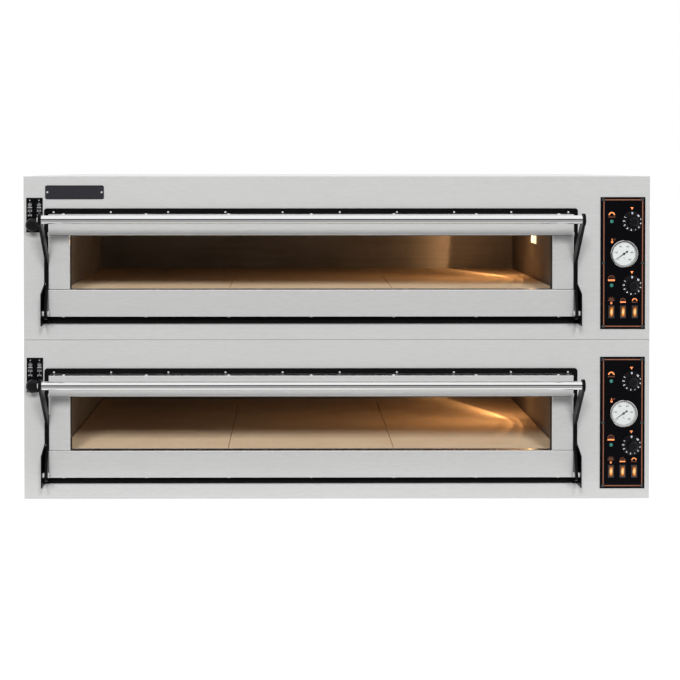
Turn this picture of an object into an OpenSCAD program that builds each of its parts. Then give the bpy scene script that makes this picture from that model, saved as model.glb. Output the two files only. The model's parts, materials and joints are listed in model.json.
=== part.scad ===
// Double-deck electric pizza oven: two equal baking decks, one above the other, in one steel casing.
// Millimetres, +Z up, front towards -Y. The origin is the middle of the overall box, under the feet.
// Every piece is drawn with y = 0 at the front panels' face and z = 0 at its deck's base, then placed.

/* [Casing] */
// Width of the casing
body_w = 1370; // [1100:5:1700]
// Depth of the casing, without the vapour outlets
body_d = 850; // [840:5:1000]
// Height from the base of one deck to the base of the next
deck_pitch = 350; // [335:1:420]
// Strip of front panel above the upper deck
top_margin = 7; // [5:1:40]
// Drop of the seam between the front panels below the upper deck's base
seam_drop = 1; // [1:0.5:8]
// Width of that seam
seam_gap = 0.5; // [0.2:0.1:2]
// Thickness of the casing sheets
sheet_t = 2; // [1:0.1:3]
// Height of the folded flanges that the casing screws go through
flange_h = 18; // [14:1:25]
// Diameter of the casing screws
screw_d = 4; // [3:0.5:5]
// Diameter of the casing screws' heads
screw_head_d = 8; // [6.5:0.5:10]
// Length of the casing screws under the head
screw_l = 8; // [7:1:16]
// Distance of the first and last casing screw from the casing's edges
screw_edge = 60; // [40:5:120]

/* [Feet] */
// Height of the feet
foot_h = 36; // [15:1:60]
// Diameter of the feet
foot_d = 45; // [30:1:58]
// Inset of the feet's centres from the casing's sides
foot_inset_x = 30; // [29:1:60]
// Inset of the feet's centres from the casing's front and rear
foot_inset_y = 195; // [60:5:200]
// Diameter of the feet's studs
foot_stud_d = 10; // [6:1:12]

/* [Vents and outlets] */
// Length of the cooling slots
vent_l = 70; // [30:5:90]
// Height of the cooling slots
vent_h = 5; // [3:0.5:8]
// Distance from one cooling slot to the next
vent_pitch = 14; // [10:1:20]
// Cooling slots per deck and panel
vent_n = 9; // [3:1:9]
// Diameter of the vapour outlet's bore
spigot_bore = 30; // [20:1:31]
// Wall of the vapour outlet's spigot
spigot_wall = 2; // [1:0.5:3]
// Length of the spigot behind the rear panel
spigot_l = 35; // [25:1:80]
// Bore of the cable gland
gland_bore = 13; // [8:0.5:16]
// Thread diameter of the cable gland
gland_thread_d = 20; // [20:1:25]
// Distance of the cable gland from the casing's right side
gland_edge = 85; // [40:5:110]
// Height of the cable gland above the casing's underside
gland_z = 60; // [45:5:120]

/* [Door] */
// Distance from the casing's left side to the door
door_left = 59; // [58:0.5:70]
// Distance from the door to the casing's right side
door_right = 172.5; // [165:0.5:190]
// Height of the door
door_h = 221.5; // [215:0.5:250]
// Height of the door's lower edge above the deck's base
door_z = 53; // [46:1:60]
// Thickness of the door
door_t = 28; // [26:0.5:36]
// Space between the door and the front panel
door_gap = 4; // [3:0.1:6]
// Width of the door's stiles beside the window
stile_w = 46.5; // [35:0.5:70]
// Height of the rail above the window
top_rail_h = 45.5; // [35:0.5:70]
// Height of the rail below the window
bottom_rail_h = 59; // [40:0.5:75]
// Thickness of the door's sheets
door_sheet = 2; // [1:0.1:2.5]
// Thickness of the door glass
glass_t = 4; // [3:0.5:6]
// Width of the glass's rim behind the rails
glass_rim = 10; // [5:0.5:20]
// Screws along the door's upper and lower edge
door_screw_n = 7; // [3:1:11]
// Distance of the end screws from the door's sides
door_screw_edge = 31.5; // [15:0.5:80]

/* [Handle and hinges] */
// Diameter of the handle bar
bar_d = 18; // [14:0.5:24]
// Wall of the handle bar's tube
bar_wall = 2; // [1:0.5:3]
// Distance of the bar's centre in front of the door's face
bar_reach = 95; // [50:1:100]
// Distance of the bar's centre below the door's upper edge
bar_drop = 8; // [0:1:40]
// Thickness of the handle arms
arm_t = 6; // [4:0.5:8]
// Width of the handle arms
arm_w = 22; // [16:1:23]
// Depth of the arms' screws behind the door's face
arm_seat = 8; // [6:0.5:10]
// Height of the arms' lower screws above the door's lower edge
arm_low = 70; // [60:1:80]
// Height of the arms' upper screws above the door's lower edge
arm_high = 115; // [105:1:130]
// Distance of the hinge axis in front of the door's face
hinge_reach = 14; // [12:0.5:20]
// Height of the hinge axis above the door's lower edge
hinge_rise = 8; // [8:0.5:16]
// Diameter of the hinge pins
hinge_pin_d = 8; // [6:0.5:10]
// Radial running clearance on the hinge pins
hinge_clear = 0.05; // [0.02:0.01:0.1]
// Space between a handle arm and its hinge bracket
arm_space = 5; // [5:0.5:8]
// Thickness of the hinge brackets
bracket_t = 2.5; // [2:0.5:4]

/* [Door surround] */
// Gap between the door's edges and the surround
door_clear = 1.5; // [1:0.1:2]
// Width of the surround beside the door
surround_side = 12; // [12:0.5:14]
// Height of the surround above the door
surround_top = 11; // [6:0.5:15]
// Height of the surround below the door
surround_bottom = 16; // [10:0.5:18]
// Depth of the surround in front of the panel
surround_t = 6; // [4:0.5:7]
// Screws along the surround's upper strip
surround_screw_n = 10; // [4:1:14]
// Distance of its end screws from the surround's corners
surround_screw_edge = 21; // [12:1:60]
// Diameter of the surround's and hinge brackets' screw heads
small_head_d = 4.4; // [3.5:0.1:5.5]

/* [Baking chamber] */
// Overlap of the door over the chamber's mouth on each side
mouth_margin = 20; // [20:0.5:40]
// Height of the stones' upper face above the door's lower edge
stone_rise = 53; // [52:1:62]
// Height of the chamber above the stones
chamber_h = 140; // [120:1:146]
// Depth of the chamber behind the front panel
chamber_d = 748; // [700:1:780]
// Thickness of the chamber's sheets
liner_t = 1.5; // [1:0.1:2]
// Thickness of the baking stones
stone_t = 20; // [14:1:24]
// Baking stones side by side on a deck
stone_n = 3; // [1:1:5]
// Gap between neighbouring stones
stone_gap = 1; // [0.5:0.1:3]
// Height of the heater space below the stones
heater_space = 41; // [34:1:46]
// Width of the ledges that carry the stones
ledge_w = 25; // [12:1:40]
// Drop of the chamber's front sill below the stones' upper face
sill_drop = 6; // [3:0.5:10]
// Width of the door seal
seal_w = 10; // [6:0.5:12]
// Distance of the door seal from the mouth
seal_edge = 6; // [3:0.5:7]
// Thickness of the insulation beside the chamber
wool_side = 38; // [20:1:45]
// Thickness of the insulation above the chamber
wool_top = 60; // [30:1:75]
// Air gap between the insulation and the rear panel
rear_gap = 36; // [10:1:40]

/* [Heating elements and lamp] */
// Diameter of the heating elements
element_d = 8; // [6:0.5:10]
// Distance between the two legs of an element
element_gap = 70; // [50:1:90]
// Distance between neighbouring elements
element_pitch = 140; // [125:1:145]
// Distance of the first element behind the front panel's face
element_front = 100; // [75:1:110]
// Distance of the last element in front of the chamber's rear wall
element_rear = 70; // [60:1:80]
// Distance of the elements from the chamber's ceiling and floor
element_drop = 14; // [10:0.5:18]
// Height of the lamp window
lamp_h = 36; // [30:1:50]
// Length of the lamp window
lamp_l = 53; // [40:1:90]
// Distance of the lamp's middle below the chamber's ceiling
lamp_drop = 32; // [32:1:60]
// Distance of the lamp's middle behind the front panel's face
lamp_y = 375; // [345:1:430]

/* [Controls] */
// Distance of the control plate's middle from the casing's right side
control_edge = 59.5; // [55:0.5:65]
// Height of the control plate's middle above the deck's base
control_z = 167; // [160:1:175]
// Width of the control plate
control_w = 98; // [96:1:106]
// Height of the control plate
control_h = 289; // [285:1:300]
// Thickness of the control plate
control_t = 2; // [1:0.1:3]
// Diameter of the heat knobs' numbered skirts
knob_d = 44.6; // [36:0.1:48]
// Diameter of the heat knobs' grips
grip_d = 22; // [16:0.5:28]
// Height of the heat knobs
knob_h = 24; // [18:0.5:30]
// Diameter of the thermostats' spindles
spindle_d = 6; // [4:0.5:8]
// Radial running clearance on the spindles, rockers and the gauge pin
turn_clear = 0.05; // [0.02:0.01:0.1]
// Diameter of the thermometer's bezel
gauge_d = 60; // [50:0.5:64]
// Height of the thermometer's bezel
gauge_h = 6; // [5.5:0.1:9]
// Angle of the needle at rest, clockwise from the top of the dial
needle_rest = 235; // [225:1:495]
// Diameter of the pilot lamps
pilot_d = 8; // [7:0.5:12]
// Width of a rocker
rocker_w = 8.6; // [6:0.1:12]
// Height of a rocker
rocker_h = 23.4; // [18:0.1:28]
// Tilt of a rocker either side of its middle position
rocker_tilt = 8; // [5:0.5:10]
// Diameter of the control plate's screw heads
trim_head_d = 7; // [5:0.5:8]

/* [Damper and name plate] */
// Distance of the damper rod from the casing's left side
damper_edge = 24; // [23:0.5:25]
// Height of the damper rod above the chamber's ceiling
damper_rise = 6; // [2:0.5:12]
// Width of the damper plate
damper_w = 36; // [30:0.5:36]
// Height of the damper plate
damper_h = 75.5; // [60:0.5:80]
// Part of the damper plate below the rod
damper_below = 17.5; // [15:0.5:25]
// Diameter of the damper knob
damper_knob_d = 29; // [20:0.5:30]
// Length of the damper knob
damper_knob_h = 38; // [30:0.5:45]
// Diameter of the damper rod
rod_d = 8; // [6:0.5:10]
// Travel of the damper
damper_travel = 60; // [30:1:70]
// Width of the bare name plate
name_w = 128.3; // [60:0.1:200]
// Height of the bare name plate
name_h = 30.4; // [20:0.1:40]
// Distance of the name plate from the casing's left side
name_left = 47.3; // [40:0.1:120]

/* [Hidden] */
$fn = 48;

// Colours
steel = [0.78, 0.78, 0.77];
bright_steel = [0.86, 0.86, 0.86];
black = [0.08, 0.08, 0.085];
dark_brown = [0.16, 0.13, 0.11];
clay = [0.70, 0.56, 0.42];
wool = [0.80, 0.74, 0.55];

// Overall and casing
body_h = 2 * deck_pitch + top_margin;
half_w = body_w / 2;
inner_x = half_w - sheet_t;
rear_in = body_d - sheet_t;
screw_clear = 0.1;
screw_head_h = 2.4;
side_screw_n = 5;
rear_screw_n = 7;
screw_rise = sheet_t + flange_h / 2;
screw_rows = [screw_rise, deck_pitch + screw_rise, body_h - screw_rise];
panel_fit = 0.2;
foot_nut_h = 8;
foot_taper = 4;
foot_rim = 3;
stud_clear = 0.2;
vent_front = 50;
vent_z = 120;

// Door, measured from its deck's base
door_x0 = door_left - half_w;
door_x1 = half_w - door_right;
door_w = door_x1 - door_x0;
door_x = (door_x0 + door_x1) / 2;
door_top = door_z + door_h;
door_back = -door_gap;
door_face = -door_gap - door_t;
liner_face = door_back - door_sheet;
glass_face = liner_face - glass_t;
window_lo = [door_x0 + stile_w, door_z + bottom_rail_h];
window_hi = [door_x1 - stile_w, door_top - top_rail_h];
door_screw_d = 3.5;
door_head_d = 6.5;
door_head_h = 2;
door_screw_l = 8;
flange_clear = 1;
liner_flange = door_t - 2 * door_sheet - flange_clear;
edge_screw_y = liner_face - liner_flange + door_head_d / 2 + flange_clear;
side_screw_z = door_h - top_rail_h;
door_screw_pitch = (door_w - 2 * door_screw_edge) / (door_screw_n - 1);

// Handle and hinges: points of the side view, as [y, z]
pivot = [door_face - hinge_reach, door_z + hinge_rise];
bar_axis = [door_face - bar_reach, door_top - bar_drop];
arm_path = [
    pivot,
    [door_face + arm_seat, door_z + arm_low],
    [door_face + arm_seat, door_z + arm_high],
    bar_axis
];
pivot_boss_d = arm_w + 4;
bar_boss_d = bar_d + 8;
front_reach = bar_boss_d / 2 - bar_axis[0];
origin_y = (front_reach - body_d - spigot_l) / 2;
spigot_fit = 0.1;
bar_spigot_l = 18;
bracket_drop = 26;
bracket_rise = 62;
bracket_front_rise = 43;
bracket_nose = 12;
bracket_foot = 11;
bracket_x = -arm_t - arm_space;
bracket_screw_low = 14;
bracket_screw_high = 52;
bracket_screw_x = bracket_x + 4;
pin_side_clear = 0.2;
pin_head_d = hinge_pin_d + 4;
pin_head_h = 1.5;
pin_shoulder_d = hinge_pin_d + 3;
pin_nut_h = 2.5;

// Surround and seal
surround_lo = [door_x0 - door_clear - surround_side, door_z - door_clear - surround_bottom];
surround_hi = [door_x1 + door_clear + surround_side, door_top + door_clear + surround_top];
surround_screw_pitch = (surround_hi[0] - surround_lo[0] - 2 * surround_screw_edge) / (surround_screw_n - 1);
surround_screw_rise = 0.4;
small_screw_d = 2.6;
small_head_h = 1.4;
trim_screw_grip = 2;
seal_clear = 0.3;

// Chamber
chamber_x0 = door_x0 + mouth_margin;
chamber_x1 = door_x1 - mouth_margin;
stone_top = door_z + stone_rise;
stone_z = stone_top - stone_t;
chamber_top = stone_top + chamber_h;
chamber_back = sheet_t + chamber_d;
heater_z = stone_z - heater_space;
sill_z = stone_top - sill_drop;
mouth_lo = [chamber_x0, sill_z];
mouth_hi = [chamber_x1, chamber_top];
liner_front = sheet_t + liner_t;
liner_rim = 15;
liner_fit = 0.2;
stone_edge = 1.5;
stone_w = (chamber_x1 - chamber_x0 - 2 * stone_edge - (stone_n - 1) * stone_gap) / stone_n;
ledge_t = 2;
wool_front = liner_front + 8;
wool_rear = rear_in - rear_gap;
wool_clear = 1;

// Heating elements and lamp
element_y = [
    element_front,
    element_front + element_pitch,
    chamber_back - element_rear - element_pitch,
    chamber_back - element_rear
];
element_z = [chamber_top - element_drop, heater_z + element_drop];
element_inset = 50;
element_tail = 12;
bend_x = chamber_x0 + element_inset + (element_gap + element_d) / 2;
element_end = chamber_x1 + liner_t + wool_side + element_tail;
element_clear = 0.3;
hanger_x = bend_x + 40;
hanger_t = 2;
hanger_rim = 4;
lamp_z = chamber_top - lamp_drop;
lamp_rim = 6;
lamp_flange_t = 1.5;
lamp_wall = 1.2;
lamp_fit = 0.5;
lamp_depth = 34;
lens_t = 2.5;
lens_rim = 4;
bulb_d = 18;
bulb_base_d = 14;
bulb_base_h = 12;

// Controls: places on the control plate, as [x, z] from its middle
control_x = half_w - control_edge;
knob_at = [[19.4, 91], [19.4, -48.9]];
pilot_at = [[-24.7, 91], [-24.7, -48.9]];
gauge_at = [2.3, 20.3];
switch_at = [[-25, -106.7], [0.5, -106.7], [26, -106.7]];
control_screw_x = control_w / 2 - 6.4;
control_screw_z = control_h / 2 - 6;
panel_cut = [76, 262];
bush_d = 10;
bush_clear = 0.3;
thermostat_w = 34;
thermostat_l = 42;
spindle_l = 26;
knob_lift = 0.5;
skirt_h = 5;
skirt_slope = 2;
grip_round = 1.5;
pointer_w = 2.4;
gauge_r = gauge_d / 2;
gauge_case_r = gauge_r - 4;
gauge_lip_r = gauge_r - 3;
gauge_well_r = gauge_r - 2.5;
gauge_glass_r = gauge_r - 1.8;
gauge_cup_r = gauge_r - 8;
gauge_case_l = 16;
gauge_wall = 1.5;
gauge_lip = 1.2;
gauge_glass_t = 1.2;
gauge_fit = 0.1;
dial_seat = control_t + 0.6;
dial_t = 0.6;
glass_seat = control_t + gauge_h - gauge_lip - gauge_glass_t;
needle_z = dial_seat + dial_t + 0.5;
needle_t = 0.8;
needle_l = gauge_well_r - 5;
needle_hub_d = 5;
needle_tail = 8;
needle_weight_d = 4.4;
gauge_pin_d = 1.6;
pilot_body_d = pilot_d - 1.8;
pilot_hole_d = pilot_body_d + 0.4;
pilot_h = 3;
pilot_l = 12;
rocker_side = 0.3;
rocker_end = 0.4;
switch_wall = 1;
switch_rim = 0.7;
switch_rim_h = 1.5;
switch_l = 16;
switch_fit = 0.2;
switch_w = rocker_w + 2 * rocker_side + 2 * switch_wall;
switch_h = rocker_h + 2 * rocker_end + 2 * switch_wall;
switch_cut = [switch_w, switch_h] + 2 * [switch_fit, switch_fit];
rocker_pivot = control_t - 1;
rocker_rise = 5.2;
rocker_dip = 1.8;
rocker_back = 6;
trunnion_d = 2.4;

// Damper, flue and name plate
rod_x = damper_edge - half_w;
rod_z = chamber_top + damper_rise;
damper_t = 1.5;
damper_rest = damper_t + 0.4;
rod_clear = 0.1;
rod_socket = 20;
knob_stem_d = 13;
knob_foot_d = 16;
flue_t = 1.5;
valve_d = spigot_bore + 4;
valve_t = 3;
valve_gap = 0.5;
flue_x0 = rod_x - valve_d / 2 - valve_gap - flue_t;
flue_x1 = chamber_x0 - liner_t;
flue_lead = 75;
flue_room = 30;
flue_y0 = min(chamber_back - flue_lead, rear_in - damper_travel - valve_t - flue_room);
flue_z0 = chamber_top - 36;
flue_z1 = rod_z + valve_d / 2 + valve_gap + flue_t;
flue_seat = rear_in - flue_t;
neck_lo = [chamber_back - 60, chamber_top - 28];
neck_hi = [chamber_back - 20, chamber_top - 6];
spigot_d = spigot_bore + 2 * spigot_wall;
spigot_end = body_d + spigot_l;
spigot_clear = 0.2;
gland_x = half_w - gland_edge;
gland_hex_d = gland_thread_d + 9;
gland_hex_h = 6;
gland_cap_l = 16;
gland_clear = 0.2;
name_t = 1.5;
name_r = 4;
name_rivet_edge = 5;
name_z = (surround_hi[1] + deck_pitch + top_margin) / 2;

// Placing
module in_frame() {
    translate([0, origin_y, foot_h]) children();
}

module on_deck(k) {
    in_frame() translate([0, 0, k * deck_pitch]) children();
}

module on_decks() {
    for (k = [0, 1]) on_deck(k) children();
}

// Turns a front view (x across, y up) upright, with its height towards the viewer
module facing() {
    rotate([90, 0, 0]) children();
}

// Extrudes a side view (x to the rear, y up) across the oven
module across(x0, len) {
    translate([x0, 0, 0]) rotate([90, 0, 90]) linear_extrude(len) children();
}

// A round bar across the oven, its axis through a point of the side view
module across_bar(p, d, x0, len) {
    translate([x0, p[0], p[1]]) rotate([0, 90, 0]) cylinder(d = d, h = len);
}

module at_door_sides() {
    translate([door_x0, 0, 0]) children();
    translate([door_x1, 0, 0]) mirror([1, 0, 0]) children();
}

module at_controls() {
    translate([control_x, 0, control_z]) facing() children();
}

module at_damper() {
    translate([rod_x, 0, rod_z]) facing() children();
}

// Shapes
module box(lo, hi) {
    translate(lo) cube(hi - lo);
}

module rect(lo, hi) {
    translate(lo) square(hi - lo);
}

// A flat ring between two rectangles
module frame_2d(lo, hi, in_lo, in_hi) {
    difference() {
        rect(lo, hi);
        rect(in_lo, in_hi);
    }
}

function arc(c, r, from, to, n = 8) = [
    for (i = [0 : n]) c + r * [cos(from + (to - from) * i / n), sin(from + (to - from) * i / n)]
];

function rounded(w, h, r) = concat(
    arc([w / 2 - r, h / 2 - r], r, 0, 90),
    arc([r - w / 2, h / 2 - r], r, 90, 180),
    arc([r - w / 2, r - h / 2], r, 180, 270),
    arc([w / 2 - r, r - h / 2], r, 270, 360)
);

function unit(v) = v / norm(v);
function normal(v) = [-v[1], v[0]];
function reversed(list) = [for (i = [len(list) - 1 : -1 : 0]) list[i]];

// One edge of a strip along the points p, w to the left of them, with mitred corners
function strip_edge(p, w) = [
    for (i = [0 : len(p) - 1])
        let (
            last = len(p) - 1,
            ahead = normal(unit(p[min(i + 1, last)] - p[min(i, last - 1)])),
            behind = normal(unit(p[max(i, 1)] - p[max(i - 1, 0)])),
            mitre = unit(ahead + behind)
        )
        p[i] + mitre * w / (mitre * ahead)
];

function strip(p, w) = concat(strip_edge(p, w / 2), reversed(strip_edge(p, -w / 2)));

// A screw seated at z = 0, head towards +z
module screw(d, head_d, head_h, len) {
    translate([0, 0, -len]) cylinder(d = d, h = len);
    rotate_extrude() polygon([
        [0, 0], [head_d / 2, 0], [head_d / 2, head_h / 2], [head_d / 2 - head_h / 2, head_h], [0, head_h]
    ]);
}

module screw_hole(d, len) {
    translate([0, 0, -len]) cylinder(d = d + 2 * screw_clear, h = len + 1);
}

// Casing
module at_casing_screws(z) {
    side_pitch = (body_d - 2 * screw_edge) / (side_screw_n - 1);
    rear_pitch = (body_w - 2 * screw_edge) / (rear_screw_n - 1);
    for (s = [-1, 1], i = [0 : side_screw_n - 1])
        translate([s * half_w, screw_edge + i * side_pitch, z]) rotate([0, s * 90, 0]) children();
    for (i = [0 : rear_screw_n - 1])
        translate([screw_edge - half_w + i * rear_pitch, body_d, z]) rotate([-90, 0, 0]) children();
}

module casing_screw_holes(rows) {
    for (z = rows) at_casing_screws(z) screw_hole(screw_d, screw_l);
}

module casing_screws() {
    color(bright_steel) in_frame() for (z = screw_rows)
        at_casing_screws(z) screw(screw_d, screw_head_d, screw_head_h, screw_l);
}

// A sheet across the casing with flanges folded up at its sides and rear
module floor_sheet() {
    difference() {
        union() {
            box([-inner_x, sheet_t, 0], [inner_x, rear_in, sheet_t]);
            box([-inner_x, sheet_t, 0], [-inner_x + sheet_t, rear_in, sheet_t + flange_h]);
            box([inner_x - sheet_t, sheet_t, 0], [inner_x, rear_in, sheet_t + flange_h]);
            box([-inner_x, rear_in - sheet_t, 0], [inner_x, rear_in, sheet_t + flange_h]);
        }
        casing_screw_holes([screw_rise]);
    }
}

module at_feet() {
    for (x = [foot_inset_x - half_w, half_w - foot_inset_x], y = [foot_inset_y, body_d - foot_inset_y])
        translate([x, y, 0]) children();
}

module base_tray() {
    color(steel) in_frame() difference() {
        floor_sheet();
        at_feet() translate([0, 0, -1]) cylinder(d = foot_stud_d + 2 * stud_clear, h = sheet_t + 2);
    }
}

module feet() {
    color(black) in_frame() at_feet() {
        rotate_extrude() polygon([
            [0, -foot_h], [foot_d / 2, -foot_h], [foot_d / 2, foot_rim - foot_h],
            [foot_d / 2 - foot_taper, 0], [0, 0]
        ]);
        cylinder(d = foot_stud_d, h = sheet_t + foot_nut_h);
        translate([0, 0, sheet_t]) cylinder(d = 2 * foot_stud_d, h = foot_nut_h, $fn = 6);
    }
}

module side_panel() {
    difference() {
        box([-half_w, sheet_t, 0], [-inner_x, rear_in, body_h]);
        casing_screw_holes(screw_rows);
    }
}

module left_side_panel() {
    color(steel) in_frame() side_panel();
}

// Cooling slots of one deck, in a front view, starting at x = 0
module vent_slots() {
    for (i = [0 : vent_n - 1]) translate([0, vent_z + i * vent_pitch]) square([vent_l, vent_h]);
}

module right_side_panel() {
    color(steel) in_frame() difference() {
        mirror([1, 0, 0]) side_panel();
        for (k = [0, 1]) translate([0, 0, k * deck_pitch])
            across(inner_x - 1, sheet_t + 2) translate([vent_front, 0]) vent_slots();
    }
}

module rear_panel() {
    color(steel) in_frame() difference() {
        box([-half_w, rear_in, 0], [half_w, body_d, body_h]);
        casing_screw_holes(screw_rows);
        for (k = [0, 1]) translate([0, body_d + 1, k * deck_pitch]) facing() linear_extrude(sheet_t + 2) {
            translate([half_w - vent_front - vent_l, 0]) vent_slots();
            translate([rod_x, rod_z]) circle(d = spigot_d + 2 * spigot_clear);
        }
        translate([gland_x, body_d + 1, gland_z]) facing()
            cylinder(d = gland_thread_d + 2 * gland_clear, h = sheet_t + 2);
    }
}

module top_panel() {
    color(steel) in_frame() translate([0, 0, body_h]) mirror([0, 0, 1]) floor_sheet();
}

module deck_divider() {
    color(steel) on_deck(1) floor_sheet();
}

// The strips above and below the mouth and the uprights beside it, set edge to edge
module front_panel(z0, z1) {
    difference() {
        box([-half_w, 0, z0], [half_w, sheet_t, z1]);
        box([chamber_x0, -1, sill_z], [chamber_x1, sheet_t + 1, chamber_top]);
        for (z = [sill_z, chamber_top])
            box([-half_w - 1, -1, z - panel_fit / 2], [half_w + 1, sheet_t + 1, z + panel_fit / 2]);
        at_controls() translate([0, 0, -sheet_t - 1]) linear_extrude(sheet_t + 2)
            square(panel_cut, center = true);
        at_damper() translate([0, 0, -sheet_t - 1]) cylinder(d = rod_d + 2 * rod_clear, h = sheet_t + 2);
        at_surround_screws() screw_hole(small_screw_d, surround_t + sheet_t + trim_screw_grip);
        at_bracket_screws() screw_hole(small_screw_d, bracket_t + surround_t + sheet_t + trim_screw_grip);
        at_control_screws() screw_hole(small_screw_d, control_t + sheet_t + trim_screw_grip);
    }
}

module lower_front_panel() {
    color(steel) on_deck(0) front_panel(0, deck_pitch - seam_drop - seam_gap / 2);
}

module upper_front_panel() {
    color(steel) on_deck(1) difference() {
        front_panel(seam_gap / 2 - seam_drop, deck_pitch + top_margin);
        at_name_rivets() screw_hole(small_screw_d, name_t + sheet_t + trim_screw_grip);
    }
}

// Name plate, left bare
module at_name_plate() {
    translate([name_left + name_w / 2 - half_w, 0, name_z]) facing() children();
}

module at_name_rivets() {
    for (s = [-1, 1])
        at_name_plate() translate([s * (name_w / 2 - name_rivet_edge), 0, name_t]) children();
}

module name_plate() {
    color([0.18, 0.17, 0.2]) on_deck(1) difference() {
        at_name_plate() linear_extrude(name_t) polygon(rounded(name_w, name_h, name_r));
        at_name_rivets() screw_hole(small_screw_d, name_t + 1);
    }
}

// Door surround and seal
module at_surround_screws() {
    z = door_top + door_clear + small_head_d / 2 + surround_screw_rise;
    for (i = [0 : surround_screw_n - 1])
        translate([surround_lo[0] + surround_screw_edge + i * surround_screw_pitch, -surround_t, z])
            facing() children();
}

module door_surrounds() {
    gap = [door_clear, door_clear];
    color(black) on_decks() difference() {
        facing() linear_extrude(surround_t)
            frame_2d(surround_lo, surround_hi, [door_x0, door_z] - gap, [door_x1, door_top] + gap);
        at_surround_screws() screw_hole(small_screw_d, surround_t + 1);
        at_bracket_screws() screw_hole(small_screw_d, bracket_t + surround_t + 1);
    }
}

module door_seals() {
    inner = [seal_edge, seal_edge];
    outer = inner + [seal_w, seal_w];
    color([0.3, 0.29, 0.27]) on_decks() facing() linear_extrude(door_gap - seal_clear)
        frame_2d(mouth_lo - outer, mouth_hi + outer, mouth_lo - inner, mouth_hi + inner);
}

// Baking chamber
module at_element_legs(x0) {
    for (y = element_y, z = element_z, s = [-1, 1])
        translate([x0, y + s * element_gap / 2, z]) rotate([0, 90, 0]) children();
}

module element_hangers() {
    reach = (element_gap + element_d) / 2 + hanger_rim;
    depth = element_drop + element_d / 2 + hanger_rim - liner_fit;
    for (y = element_y, z = [chamber_top - liner_fit - depth, heater_z + liner_fit])
        box([hanger_x, y - reach, z], [hanger_x + hanger_t, y + reach, z + depth]);
}

module lamp_box(rim, x0, x1) {
    box([x0, lamp_y - lamp_l / 2 - rim, lamp_z - lamp_h / 2 - rim],
        [x1, lamp_y + lamp_l / 2 + rim, lamp_z + lamp_h / 2 + rim]);
}

// Front sheets round the mouth
module liner_front_sheets() {
    x0 = chamber_x0 - liner_rim;
    x1 = chamber_x1 + liner_rim;
    z0 = sill_z + liner_fit;
    z1 = chamber_top - liner_fit;
    translate([0, liner_front, 0]) facing() linear_extrude(liner_t) {
        rect([x0, heater_z - liner_t], [x1, sill_z]);
        rect([x0, chamber_top], [x1, chamber_top + liner_rim]);
        rect([x0, z0], [chamber_x0, z1]);
        rect([chamber_x1, z0], [x1, z1]);
    }
}

// Sheets across the chamber, between its side walls: floor, ceiling, rear wall and stone ledges
module liner_cross_sheets() {
    x0 = chamber_x0 + liner_fit;
    x1 = chamber_x1 - liner_fit;
    y0 = liner_front + liner_fit;
    y1 = chamber_back - liner_fit;
    z0 = heater_z - liner_t;
    for (z = [z0, chamber_top]) box([x0, y0, z], [x1, y1, z + liner_t]);
    box([x0, chamber_back, z0], [x1, chamber_back + liner_t, chamber_top + liner_t]);
    for (y = [y0, y1 - ledge_w]) box([x0, y, stone_z - ledge_t], [x1, y + ledge_w, stone_z]);
}

module liner_side_sheet(x0) {
    box([x0, liner_front + liner_fit, heater_z - liner_t],
        [x0 + liner_t, chamber_back + liner_t, chamber_top + liner_t]);
}

module chamber_liners() {
    hole_l = element_end - hanger_x + 2;
    color(dark_brown) on_decks() difference() {
        union() {
            liner_front_sheets();
            liner_cross_sheets();
            liner_side_sheet(chamber_x0 - liner_t);
            liner_side_sheet(chamber_x1);
            element_hangers();
        }
        at_element_legs(hanger_x - 1) cylinder(d = element_d + 2 * element_clear, h = hole_l);
        lamp_box(0, chamber_x1 - 1, chamber_x1 + liner_t + 1);
        across(chamber_x0 - liner_t - 1, liner_t + 2) rect(neck_lo, neck_hi);
    }
}

module insulation() {
    x0 = chamber_x0 - liner_t;
    x1 = chamber_x1 + liner_t;
    z0 = heater_z - liner_t;
    z1 = chamber_top + liner_t;
    back = chamber_back + liner_t;
    color(wool) on_decks() {
        box([x0, wool_front, sheet_t], [x1, back, z0]);
        box([x0, wool_front, z1], [x1, back, z1 + wool_top]);
        box([x0, back, z0], [x1, wool_rear, z1]);
        box([x0 - wool_side, wool_front, z0], [x0, flue_y0 - wool_clear, z1]);
        difference() {
            box([x1, wool_front, z0], [x1 + wool_side, back, z1]);
            at_element_legs(x1 - 1) cylinder(d = element_d + 2 * wool_clear, h = wool_side + 2);
            lamp_box(wool_clear, x1 - 1, x1 + wool_side + 1);
        }
    }
}

module baking_stones() {
    color(clay) on_decks() for (i = [0 : stone_n - 1])
        translate([chamber_x0 + stone_edge + i * (stone_w + stone_gap), liner_front + stone_edge, stone_z])
            cube([stone_w, chamber_back - liner_front - 2 * stone_edge, stone_t]);
}

module heating_elements() {
    color([0.35, 0.34, 0.33]) on_decks() {
        at_element_legs(bend_x) cylinder(d = element_d, h = element_end - bend_x);
        for (y = element_y, z = element_z)
            translate([bend_x, y, z]) rotate([0, 0, 90]) rotate_extrude(angle = 180)
                translate([element_gap / 2, 0]) circle(d = element_d);
    }
}

module lamp_holders() {
    inside = chamber_x1 - lamp_flange_t;
    outside = chamber_x1 + lamp_depth;
    color(bright_steel) on_decks() {
        difference() {
            union() {
                lamp_box(lamp_rim, inside, chamber_x1);
                lamp_box(-lamp_fit, inside, outside);
            }
            lamp_box(-lamp_fit - lamp_wall, inside - 1, outside - lamp_wall);
        }
        translate([outside - lamp_wall, lamp_y, lamp_z]) rotate([0, -90, 0]) {
            cylinder(d = bulb_base_d, h = bulb_base_h);
            translate([0, 0, bulb_base_h]) sphere(d = bulb_d);
        }
    }
}

module lamp_lenses() {
    seat = chamber_x1 - lamp_flange_t;
    color([1, 0.85, 0.55]) on_decks() lamp_box(lens_rim, seat - lens_t, seat);
}

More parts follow.
